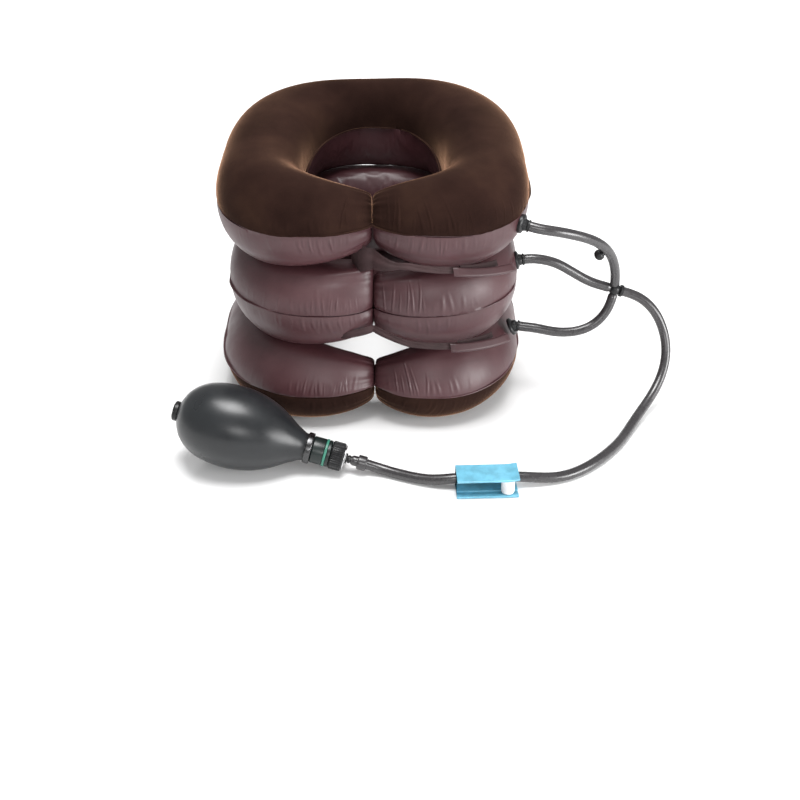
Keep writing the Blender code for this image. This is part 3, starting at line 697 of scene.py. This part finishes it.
def add_valve():
    ferrule = rounded([(94.6, 10.0), (94.6, 11.0), (95.2, 11.4), (98.6, 11.4), (99.2, 11.0), (99.2, 10.0)],
                      0.4)
    axis_piece("neck_ferrule_band", ferrule, DARK_METAL, "neck_ferrule")
    body = rounded([(90.5, 1.6), (90.5, 5.6), (92.0, 5.9), (99.4, 5.9), (99.4, 9.4), (100.2, 9.8),
                    (108.4, 9.8), (108.4, 8.9), (110.6, 8.9), (110.6, 9.8), (113.0, 9.8), (113.0, 4.2),
                    (124.2, 4.2), (124.2, 1.5), (112.6, 1.5), (112.0, 3.2), (102.0, 3.2), (100.4, 1.6)], 0.3)
    axis_piece("valve_body_moulding", body, VALVE_GREEN, "valve_body")
    green = rounded([(108.6, 9.0), (108.6, 10.15), (110.4, 10.15), (110.4, 9.0)], 0.35)
    axis_piece("valve_green_ring_band", green, RING_GREEN, "valve_green_ring")

    def knurl(distance, radius, step):
        cut = radius > 10.1 and 114.2 < distance < 122.2 and step % 4 < 2
        return radius - 0.5 if cut else radius

    ring = [(113.3, 4.5), (113.3, 9.3), (113.6, 9.7), (114.1, 10.1), (114.2, 10.3), (114.3, 10.35),
            (122.0, 10.35), (122.1, 10.3), (122.2, 10.1), (122.7, 9.7), (123.0, 9.3), (123.0, 4.5)]
    ring.append(ring[0])
    axis_piece("release_ring_knurled", ring, BLACK, "release_ring", "release_ring_body",
               4 * KNURLS, knurl)
    washer = rounded([(123.2, 4.5), (123.2, 9.3), (124.0, 9.3), (124.0, 4.5)], 0.3)
    axis_piece("valve_end_washer_disc", washer, METAL, "valve_end_washer")
    barb = rounded([(124.5, 1.5), (124.5, 3.8), (125.7, 3.8), (125.7, 2.5), (127.4, 3.1), (128.2, 2.5),
                    (130.2, 3.1), (131.0, 2.5), (133.0, 2.5), (133.0, 1.5)], 0.15)
    axis_piece("outlet_barb_moulding", barb, BLACK, "outlet_barb", sides=40)


# ---------- roller clamp ----------

CLAMP_MIDDLE = Vector((81.6, -148.6, 0.3)) * MM
CLAMP_ANGLE = math.radians(2.6)
CLAMP_LENGTH = 44 * MM
CLAMP_DEPTH = 20 * MM
CLAMP_HEIGHT = 15.0 * MM
CLAMP_WALL = 1.5 * MM
ROLLER_RADIUS = 4.8 * MM
ROLLER_OFFSET = 14.5 * MM
ROLLER_ACROSS = -4.8 * MM
GROOVE_HALF = 1.6 * MM


def clamp_axes():
    along = Vector((math.cos(CLAMP_ANGLE), math.sin(CLAMP_ANGLE), 0))
    return along, Vector((-along.y, along.x, 0))


def add_clamp():
    """Channel on its side, its mouth to the front, flared at one end, grooved for the roller's pins."""
    along, inward = clamp_axes()
    depth, top, wall = CLAMP_DEPTH / 2, CLAMP_HEIGHT, CLAMP_WALL
    back, front = ROLLER_ACROSS + GROOVE_HALF, ROLLER_ACROSS - GROOVE_HALF
    pocket = 0.8 * MM
    section = [
        (-depth, 0), (depth, 0), (depth, top), (-depth, top), (-depth, top - wall),
        (front, top - wall), (front, top - wall + pocket), (back, top - wall + pocket),
        (back, top - wall), (depth - wall, top - wall), (depth - wall, wall),
        (back, wall), (back, wall - pocket), (front, wall - pocket), (front, wall), (-depth, wall),
    ]
    middle = CLAMP_MIDDLE + RING_CENTRE
    points = []
    stations = [(-0.5, 0), (-0.2, 0), (0.1, 0), (0.30, 0), (0.36, 0.12), (0.42, 0.4), (0.46, 0.7), (0.5, 1.0)]
    flare = 1.2 * MM
    for place, grow in stations:
        for across, height in section:
            lifted = height + flare * grow * (height / top)
            points.append(middle + along * (place * CLAMP_LENGTH) + inward * across + Vector((0, 0, lifted)))
    clamp = turned_out(new_piece("clamp_channel_moulding", points, capped_faces(len(stations), len(section)),
                                 CLEAR_BLUE, "base"))
    add_modifier(clamp, "BEVEL", width=0.35 * MM, segments=3, limit_method="ANGLE",
                 angle_limit=math.radians(40))
    stand_for(clamp, "clamp_body")
    return clamp, add_roller(middle, along, inward)


def add_roller(middle, along, inward):
    place = middle + along * ROLLER_OFFSET + inward * ROLLER_ACROSS
    place.z += CLAMP_WALL
    room = (CLAMP_HEIGHT - 2 * CLAMP_WALL) / MM
    wide = ROLLER_RADIUS / MM

    def ribbed(distance, radius, step):
        rib = radius > wide - 0.05 and step % 4 < 2 and 1.2 < distance < room - 1.2
        return radius - 0.25 if rib else radius

    outline = [(-0.4, 0.3), (-0.4, 1.2), (0.4, 1.3), (0.4, wide - 0.6), (0.6, wide - 0.3), (1.0, wide - 0.1),
               (1.3, wide), (room - 1.3, wide), (room - 1.0, wide - 0.1), (room - 0.6, wide - 0.3),
               (room - 0.4, wide - 0.6), (room - 0.4, 1.3), (room + 0.4, 1.2), (room + 0.4, 0.3)]
    roller = turned("clamp_roller_wheel", outline, place, Vector((0, 0, 1)), ROLLER_WHITE,
                    "clamp_roller_body", 96, ribbed)
    return stand_for(roller, "clamp_roller")


# ---------- air chambers ----------

def signed_power(value, power):
    return np.sign(value) * np.abs(value) ** power


def plan_outline(angles, half_width, front, back, front_power=PLAN_POWER, back_power=PLAN_POWER):
    """Superellipse in plan with its own front and back depth, as an (n, 2) array."""
    ahead = np.sin(angles) < 0
    depth = np.where(ahead, front, back)
    power = np.where(ahead, front_power, back_power)
    return np.stack([half_width * signed_power(np.cos(angles), 2 / power),
                     depth * signed_power(np.sin(angles), 2 / power)], axis=1)


def plane_height(plane, y):
    return plane[0] + plane[1] * y


def swelling(x):
    """Rise from 0 at the middle plane to 1 where a horn has its full section."""
    reach = np.clip(np.abs(x) / TIP_LENGTH, 0, 1)
    return (1 - (1 - reach) ** TIP_POWER) ** (1 / TIP_POWER)


def tip_share(x, blunt):
    """Share of the full section left at a distance from the middle plane."""
    nose = np.sqrt(1 - (1 - np.clip(np.abs(x) / TIP_NOSE, 0, 1)) ** 2)
    return (blunt + (1 - blunt) * swelling(x)) * (0.88 + 0.12 * nose)


def soft_limit(height):
    """Height that levels off at 1, where a chamber is pressed flat."""
    over = np.clip((height - 1) / PRESSED_EDGE, -30, 30)
    return height - PRESSED_EDGE * np.log1p(np.exp(over))


def layer_planes(tier, y):
    """Heights of the planes under and over a chamber, at a distance back from the ring centre."""
    return plane_height(CONTACT_PLANES[tier], y), plane_height(CONTACT_PLANES[tier + 1], y)


def chamber_plan(tier, stations):
    """Middle line, vector to the outer seam, and shares of the section and of its height above."""
    share = np.linspace(0, 1, stations)
    angles = FRONT + 2 * math.pi * (share - TIP_CROWDING * np.sin(2 * math.pi * share))
    angles[0] += TIP_ANGLE
    angles[-1] -= TIP_ANGLE
    front = np.sin(angles) < 0
    shape = TIERS[tier]
    outer = plan_outline(angles, shape.half_width, shape.front, shape.back, shape.front_power,
                         shape.back_power)
    outer[:, 0] *= 1 + shape.widening * outer[:, 1]
    inner = plan_outline(angles, *shape.hole)
    middle = (outer + inner) / 2
    section = np.where(front, tip_share(middle[:, 0], shape.tip), 1.0)
    crest = np.where(front, tip_share(middle[:, 0], np.where(share < 0.5, *shape.crest)), 1.0)
    middle[:, 1] += np.where(front, shape.recess * (1 - swelling(middle[:, 0])), 0.0)
    middle[:, 0] += np.where(share < 0.5, TIP_GAP, -TIP_GAP)
    middle[:, 0] += shape.shift * np.clip(np.abs(middle[:, 0]) / TIP_LENGTH, 0, 1)
    return middle, (outer - inner) / 2 * section[:, None], section, crest


def chamber_grid(tier, stations, around):
    """Inflated chamber as a grid (station, point around, xyz); point 0 is the outer seam."""
    middle, to_edge, section, crest = chamber_plan(tier, stations)
    shape = TIERS[tier]
    turn = 2 * math.pi * np.arange(around) / around
    side = np.where(np.sin(turn) >= 0, 1, -1)
    power = np.where(side > 0, shape.upper_power, shape.lower_power)
    across = -signed_power(np.cos(turn), 2 / power)
    dome = np.abs(np.sin(turn)) ** (2 / power)
    span = np.linalg.norm(to_edge, axis=1)
    root = (span - SEAM_RIDGE) / span
    plan = middle[:, None, :] - to_edge[:, None, :] * (across[None, :] * root[:, None])[..., None]
    y = plan[..., 1]
    seam = plane_height(shape.seam, y)
    floor, ceiling = layer_planes(tier, y)
    pressed = soft_limit(dome * DOME_LIFT)
    upper = dome if tier == TOP_TIER else pressed
    height = np.where(side > 0, (ceiling - CONTACT_GAP - seam) * upper * crest[:, None],
                      (floor + CONTACT_GAP - seam) * pressed * section[:, None])
    return np.concatenate([plan + np.array(RING_CENTRE)[:2], (seam + height)[..., None]], axis=2)


def grid_normals(grid):
    along = np.gradient(grid, axis=0)
    around = (np.roll(grid, -1, axis=1) - np.roll(grid, 1, axis=1)) / 2
    normal = np.cross(around, along)
    normal /= np.maximum(np.linalg.norm(normal, axis=2, keepdims=True), 1e-12)
    centre = grid.mean(axis=1, keepdims=True)
    outward = np.sign(np.sum(normal * (grid - centre), axis=(1, 2)))[:, None, None]
    return normal * outward


def refined(grid, factor, axis):
    """Cubic interpolation of a grid along one axis; axis 1 is closed on itself."""
    count = grid.shape[axis]
    closed = axis == 1
    total = count * factor if closed else (count - 1) * factor + 1
    place = np.arange(total) / factor
    base = np.floor(place).astype(int)
    t = (place - base).reshape([-1 if i == axis else 1 for i in range(3)])

    def taken(offset):
        index = base + offset
        index = index % count if closed else np.clip(index, 0, count - 1)
        return np.take(grid, index, axis=axis)

    a, b, c, d = taken(-1), taken(0), taken(1), taken(2)
    return b + 0.5 * t * (c - a + t * (2 * a - 5 * b + 4 * c - d + t * (3 * (b - c) + d - a)))


CLOTH_SETTINGS = {
    "quality": 6, "mass": 0.15, "tension_stiffness": 25, "compression_stiffness": 25,
    "shear_stiffness": 6, "bending_stiffness": 0.05, "use_pressure": True, "uniform_pressure_force": 4.0,
    "vertex_group_shrink": "slack", "shrink_min": -VELVET_SLACK, "shrink_max": -VINYL_SLACK,
    "vertex_group_mass": "held",
}


def simulate_inflation(grid, held, velvet):
    """Cloth under air pressure, held along its seams and where chambers rest on each other."""
    stations, around = grid.shape[:2]
    mesh = bpy.data.meshes.new("inflating")
    mesh.from_pydata([tuple(p) for p in grid.reshape(-1, 3)], [], capped_faces(stations, around))
    cloth = linked("inflating", mesh)
    turned_out(cloth)
    for name, members in (("held", held), ("slack", ~velvet)):
        group = cloth.vertex_groups.new(name=name)
        for index in np.flatnonzero(members.ravel()):
            group.add([int(index)], 1.0, "ADD")
    modifier = cloth.modifiers.new("inflate", "CLOTH")
    settings = modifier.settings
    for key, value in CLOTH_SETTINGS.items():
        setattr(settings, key, value)
    settings.effector_weights.gravity = 0
    modifier.collision_settings.use_collision = False
    modifier.point_cache.frame_start = 1
    modifier.point_cache.frame_end = SIMULATION_FRAMES
    scene = bpy.context.scene
    for step in range(1, SIMULATION_FRAMES + 1):
        scene.frame_set(step)
    evaluated = cloth.evaluated_get(bpy.context.evaluated_depsgraph_get())
    result = np.array([v.co for v in evaluated.data.vertices]).reshape(grid.shape)
    bpy.data.objects.remove(cloth, do_unlink=True)
    scene.frame_set(1)
    moved = result - grid
    length = np.maximum(np.linalg.norm(moved, axis=2, keepdims=True), 1e-9)
    return grid + moved * np.minimum(1.0, SIMULATION_CAP / length)


PLEAT_MARGIN = 5 * MM  # no small pleat starts nearer to a tip
LIVELY_PLACE = 48 * MM  # distance from the tip where the pleats are the deepest
LIVELY_REACH = 34 * MM
PLEAT_CLEAR = 1.5 * MM  # a pleat starts this far from its seam
PLEAT_FADE_IN = 6 * MM
PLEAT_RIPPLE = 2.4  # side ripples along a pleat
INNER_SHARE = 0.45  # height of the neck seam's pleats, as a share of the outer seam's


def pleat_list(run):
    """Pleats along a seam of this length: place, width, length, height and slant of each."""
    pleats = []
    place = PLEAT_MARGIN
    while place < run - PLEAT_MARGIN:
        from_tip = min(place, run - place)
        lively = math.exp(-((from_tip - LIVELY_PLACE) / LIVELY_REACH) ** 2)
        height = (0.18 + 0.75 * lively * RANDOM.random() ** 0.7) * MM
        length = (7 + 12 * lively * RANDOM.random() + 4 * RANDOM.random()) * MM
        pleats.append((place, RANDOM.uniform(1.5, 2.6) * MM, length, height, RANDOM.uniform(-0.25, 0.25)))
        place += RANDOM.uniform(5.0, 8.5 + 9 * (1 - lively)) * MM
    return pleats


def gather_list(tier, side, line, run):
    """The deeper pleats in groups along the front of a seam, placed by their distance across."""
    across = line[:, 0] - RING_CENTRE.x
    pleats = []
    for of_tier, of_side, reach, spacing, length, height in GATHERS:
        if (of_tier, of_side) != (tier, side):
            continue
        x = reach[0]
        while x < reach[1]:
            near = np.where(line[:, 1] < RING_CENTRE.y, np.abs(across - x * MM), np.inf)
            share = RANDOM.uniform(0.55, 1.15)
            pleats.append((run[int(np.argmin(near))], RANDOM.uniform(1.0, 1.5) * MM, length * share * MM,
                           height * share * MM, RANDOM.uniform(-0.2, 0.2)))
            x += spacing * RANDOM.uniform(0.7, 1.3)
    return pleats


def pleated(grid, tier):
    """Adds the gathers that a flat sheet forms along its curved seams and round its tips."""
    stations, around = grid.shape[:2]
    half = around // 2
    normals = grid_normals(grid)
    rise = np.zeros((stations, around))
    for side in (1, -1):
        for seam, reverse in ((0, False), (half, True)):
            line = grid[:, seam]
            run = run_along(line)
            step = side if not reverse else -side
            columns = [(seam + step * k) % around for k in range(half // 2)]
            sheet = grid[:, columns]
            depth = np.cumsum(np.linalg.norm(np.diff(sheet, axis=1, prepend=sheet[:, :1]), axis=2), axis=1)
            layer = np.zeros((stations, len(columns)))
            pleats = pleat_list(run[-1])
            if not reverse:
                pleats += gather_list(tier, side, line, run)
            for place, width, length, height, slant in pleats:
                offset = (run[:, None] - place - slant * depth) / width
                fade_in = np.clip((depth - PLEAT_CLEAR) / PLEAT_FADE_IN, 0, 1)
                fade = np.clip(1 - depth / length, 0, 1) ** 0.7 * fade_in
                layer += height * np.exp(-offset ** 2) * np.cos(PLEAT_RIPPLE * offset) * fade
            rise[:, columns] += layer * (INNER_SHARE if reverse else 1.0)
    rise += tip_gathers(grid)
    return grid + normals * rise[..., None]


FOLD_WAVES = (9, 14, 21)
FOLD_REACH = 15 * MM
FOLD_HEIGHT = 0.55 * MM


def tip_gathers(grid):
    """Folds that run out of each blunt tip along the horn."""
    around = grid.shape[1]
    turn = np.arange(around) / around
    fold = np.zeros(around)
    for waves in FOLD_WAVES:
        fold += np.cos(2 * math.pi * (waves * turn + RANDOM.random())) * RANDOM.uniform(0.4, 0.8)
    distance = np.abs(grid[..., 0] - RING_CENTRE.x)
    front = grid[..., 1] < RING_CENTRE.y
    fade = np.exp(-distance / FOLD_REACH) * np.clip(distance / (2 * MM), 0, 1)
    return np.where(front, fold[None, :] * fade * FOLD_HEIGHT, 0.0)


UNDULATIONS = ((3, 0.5), (5, 0.35), (8, 0.22))  # waves round the collar, and share of the height
UNDULATION_HEIGHT = 0.7 * MM


def undulation(grid):
    """Slow unevenness of a hand-filled chamber, in its height and its plan."""
    angle = np.arctan2(grid[..., 1] - RING_CENTRE.y, grid[..., 0] - RING_CENTRE.x)
    wave = np.zeros(angle.shape)
    for order, size in UNDULATIONS:
        wave += size * np.sin(order * angle + RANDOM.uniform(0, 6.28))
    return grid_normals(grid) * (wave * UNDULATION_HEIGHT)[..., None]


def settled(grid, tier):
    """Keeps a chamber inside its own layer and its tips on their own side."""
    y = grid[..., 1] - RING_CENTRE.y
    floor, ceiling = layer_planes(tier, y)
    grid[..., 2] = np.maximum(grid[..., 2], floor + CONTACT_GAP)
    if tier < TOP_TIER:
        grid[..., 2] = np.minimum(grid[..., 2], ceiling - CONTACT_GAP)
    middle = grid[..., 0] - RING_CENTRE.x
    half = grid.shape[0] // 2
    front = y < 0
    middle[:half] = np.where(front[:half], np.maximum(middle[:half], TIP_GAP), middle[:half])
    middle[half + 1:] = np.where(front[half + 1:], np.minimum(middle[half + 1:], -TIP_GAP), middle[half + 1:])
    grid[..., 0] = middle + RING_CENTRE.x
    return grid


def held_points(grid, tier):
    """Points that the simulation leaves in place: seams, contacts and tips."""
    held = np.zeros(grid.shape[:2], bool)
    held[:, (0, grid.shape[1] // 2)] = True
    floor, ceiling = layer_planes(tier, grid[..., 1] - RING_CENTRE.y)
    held |= grid[..., 2] - floor < HELD_WITHIN
    if tier < TOP_TIER:
        held |= ceiling - grid[..., 2] < HELD_WITHIN
    held[:2] = True
    held[-2:] = True
    return held


def chamber_surface(tier):
    grid = chamber_grid(tier, *COARSE)
    facing = 1 if tier == TOP_TIER else -1
    velvet = np.sin(2 * math.pi * np.arange(COARSE[1]) / COARSE[1]) * facing > 0
    velvet = np.broadcast_to(velvet & (tier != 1), grid.shape[:2])
    grid = simulate_inflation(grid, held_points(grid, tier), velvet)
    fine = refined(refined(grid, FINE_AROUND, 1), FINE_ALONG, 0)
    around = fine.shape[1]
    off_seam = np.abs(np.sin(2 * math.pi * np.arange(around) / around))
    fine = fine + undulation(fine) * off_seam[None, :, None]
    return settled(pleated(fine, tier), tier)


def seam_edge(grid, column, side):
    """Welded edge outside the tube: its rim, its face and its foot, from the outside inwards."""
    line = grid[:, column]
    near = grid[:, (column + 1) % grid.shape[1]] + grid[:, column - 1]
    out = line * 2 - near
    out[:, 2] = 0
    out /= np.maximum(np.linalg.norm(out, axis=1, keepdims=True), 1e-9)
    for _ in range(SEAM_SMOOTHING):
        out[1:-1] = (out[1:-1] + (out[:-2] + out[2:]) / 2) / 2
    run = run_along(line)
    wave = RIM_WAVE * np.sin(run / (6.5 * MM) + 0.8 * np.sin(run / (23 * MM)))
    lift = np.zeros(line.shape)
    lift[:, 2] = wave * 0.8
    thick = np.array([0, 0, side * SEAM_HALF])
    reach = (SEAM_RIDGE + wave * 0.5)[:, None]
    rim = line + out * reach + lift + thick * 0.05
    face = line + out * reach * 0.88 + lift + thick
    foot = line + out * 0.15 * MM + lift * 0.4 + thick * 1.1
    return rim, face, foot


def squashed(piece):
    """Gives the piece its own copy of its mesh."""
    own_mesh(piece)


def add_sheet(name, grid, side, body, node):
    """One sheet of a chamber: from the outer seam's edge over the dome to the inner seam's edge."""
    around = grid.shape[1]
    half = around // 2
    columns = range(1, half) if side > 0 else range(around - 1, half, -1)
    outer = seam_edge(grid, 0, side)
    inner = seam_edge(grid, half, side)
    strips = list(outer) + [grid[:, column] for column in columns] + list(inner)[::-1]
    points = np.stack(strips, axis=1)
    rows, width = points.shape[:2]
    faces = grid_faces(rows, width, closed=False)
    faces.append(tuple(range(width)))
    faces.append(tuple(range((rows - 1) * width, rows * width)))
    flocked = node.endswith("velvet")
    material = VELVET if flocked else VINYL
    sheet = turned_out(new_piece(name, points.reshape(-1, 3), faces, material, body, 60))
    squashed(sheet)
    stand_for(sheet, node)


SHEETS = (  # name, tier, side, body, node, contact plane that bounds it
    ("base_cover_flock", 0, -1, "base", "base_cover_velvet", 0),
    ("lower_chamber_upper_skin", 0, 1, "lower_layer", "lower_chamber_upper_sheet", 1),
    ("middle_chamber_lower_skin", 1, -1, "lower_layer", "middle_chamber_lower_sheet", 1),
    ("middle_chamber_upper_skin", 1, 1, "upper_layer", "middle_chamber_upper_sheet", 2),
    ("upper_chamber_lower_skin", 2, -1, "upper_layer", "upper_chamber_lower_sheet", 2),
    ("upper_cover_flock", 2, 1, "crown", "upper_cover_velvet", 3),
)


def add_chambers():
    surfaces = [chamber_surface(tier) for tier in range(len(TIERS))]
    for name, tier, side, body, node, plane in SHEETS:
        add_sheet(name, surfaces[tier], side, body, node)


# ---------- straps ----------

STRAP_INSET = 6 * MM
STRAP_PLACES = (-29 * MM, 0, 25 * MM, 60 * MM, 102 * MM)  # distances from the middle plane
STRAP_HALF = 2.5 * MM
Strap = namedtuple("Strap", (
    "tier", "rises",                # chamber above it, and height over the valley at STRAP_PLACES
    "root_x", "root_half", "tuck",  # place and half width of the root, and how far back it is tucked
))
STRAPS = {
    "lower": Strap(1, (15 * MM, 22 * MM, 14 * MM, 10 * MM, 6 * MM), -28 * MM, 2.9 * MM, 8 * MM),
    "upper": Strap(2, (8.0 * MM, 9.5 * MM, 11.0 * MM, 6.5 * MM, -2.0 * MM), -22 * MM, 15.5 * MM, 26 * MM),
}
STRAP_END_X = 66 * MM
TAB_END_X = 102 * MM
TIP_RECESS = 14 * MM  # how far the straps follow the tips back
BAND_STEP = 0.8 * MM
BAND_POINTS = 13


def valley_point(angle, which, inset):
    """Plan point inset from the seams, in the valley under the chamber, with the strap's height."""
    tier = STRAPS[which].tier
    scale = (TIER_SCALES[tier] + TIER_SCALES[tier - 1]) / 2
    spot = plan_outline(np.array([angle]), HALF_WIDTH * scale - inset, FRONT_DEPTH * scale - inset,
                        BACK_DEPTH)[0]
    spot[1] += TIP_RECESS * (1 - swelling(spot[0]))
    rise = float(np.interp(spot[0], STRAP_PLACES, STRAPS[which].rises))
    return Vector((spot[0], spot[1], plane_height(CONTACT_PLANES[tier], spot[1]) + rise)) + RING_CENTRE


def front_angle(x):
    return FRONT + math.asin(math.copysign(abs(x / HALF_WIDTH) ** (PLAN_POWER / 2), x))


def band(name, which, ends, inset_at, half_at, tilt_at, thickness, material, body, node, supple=0.0):
    """A flat band along the valley; its inset, half width and tilt follow the share along it."""
    first, last = front_angle(ends[0]), front_angle(ends[1])
    steps = max(12, int(abs(ends[1] - ends[0]) / BAND_STEP))
    across = np.linspace(-1, 1, BAND_POINTS)
    points = []
    for step in range(steps + 1):
        share = step / steps
        angle = first + (last - first) * share
        inset = inset_at(share)
        spot = valley_point(angle, which, inset)
        ahead = valley_point(angle + 0.01, which, inset) - valley_point(angle - 0.01, which, inset)
        normal = Vector((ahead.y, -ahead.x, 0)).normalized()
        tilt = tilt_at(share)
        rise = Vector((0, 0, math.cos(tilt))) - normal * math.sin(tilt)
        face = normal * math.cos(tilt) + Vector((0, 0, math.sin(tilt)))
        half = half_at(share)
        rim = min(1.0, 0.35 + 10 * min(share, 1 - share))
        for layer in (1, -1):
            for place in across[::layer]:
                edge = max((1 - abs(place) ** 8) ** 0.5, 0.25) * rim
                curl = half * 0.10 * math.sin(5 * place + 9 * share) + 0.25 * MM * math.sin(31 * share)
                curl *= supple
                points.append(spot + rise * (half * place) + face * (layer * thickness / 2 * edge + curl))
    piece = new_piece(name, points, capped_faces(steps + 1, 2 * BAND_POINTS), material, body, 50)
    turned_out(piece)
    squashed(piece)
    stand_for(piece, node)


def add_straps():
    for which, layer in (("lower", "lower_layer"), ("upper", "upper_layer")):
        _, _, root, wide, tuck = STRAPS[which]

        def strap_half(share, wide=wide):
            return STRAP_HALF + (wide - STRAP_HALF) * max(0.0, 1 - 2.6 * share) ** 1.25

        def strap_inset(share, tuck=tuck):
            return STRAP_INSET - 1 * MM + tuck * max(0.0, 1 - 3.0 * share) ** 1.5

        def strap_tilt(share):
            return math.radians(4 + 30 * min(1.0, 2 * share))

        body = which + "_strap_body"
        band(which + "_strap_anchor_patch", which, (root - 10 * MM, root - 1.2 * MM),
             lambda share: STRAP_INSET + 21 * MM, lambda share: 2.4 * MM, lambda share: 0.0, 1.6 * MM, VINYL,
             layer, which + "_strap_anchor")
        band(which + "_strap_band", which, (root, STRAP_END_X), strap_inset, strap_half, strap_tilt,
             1.2 * MM, WEBBING, body, which + "_strap", supple=1.0)
        band(which + "_strap_tab_band", which, (STRAP_END_X - 6 * MM, TAB_END_X),
             lambda share: STRAP_INSET - (3.4 + 5.5 * share) * MM, lambda share: 3.3 * MM,
             lambda share: math.radians(38), 3.2 * MM, TAB_VINYL, body, which + "_strap_tab")
        band(which + "_loop_patch_band", which, (STRAP_END_X + 2 * MM, TAB_END_X - 4 * MM),
             lambda share: STRAP_INSET + 1.0 * MM, lambda share: 2.4 * MM, lambda share: math.radians(20),
             1.0 * MM, WEBBING, layer, which + "_loop_patch")


# ---------- the whole object ----------

def dress_inner_parts():
    """Valve parts inside the bulb keep their modelled shapes and get a real finish."""
    for node in ("inlet_ball", "inlet_ball_retainer", "outlet_ball", "outlet_spring"):
        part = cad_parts[node]
        part.data.materials.clear()
        part.data.materials.append(METAL)


def main():
    add_camera()
    add_studio()
    cross = add_cross_connector()
    stub = add_stub_cap()
    sleeve = add_sleeve()
    clamp, roller = add_clamp()
    add_hoses()
    for which in PORTS:
        add_port(which)
    add_chambers()
    add_straps()
    add_bulb()
    add_inlet()
    add_valve()
    dress_inner_parts()


main()
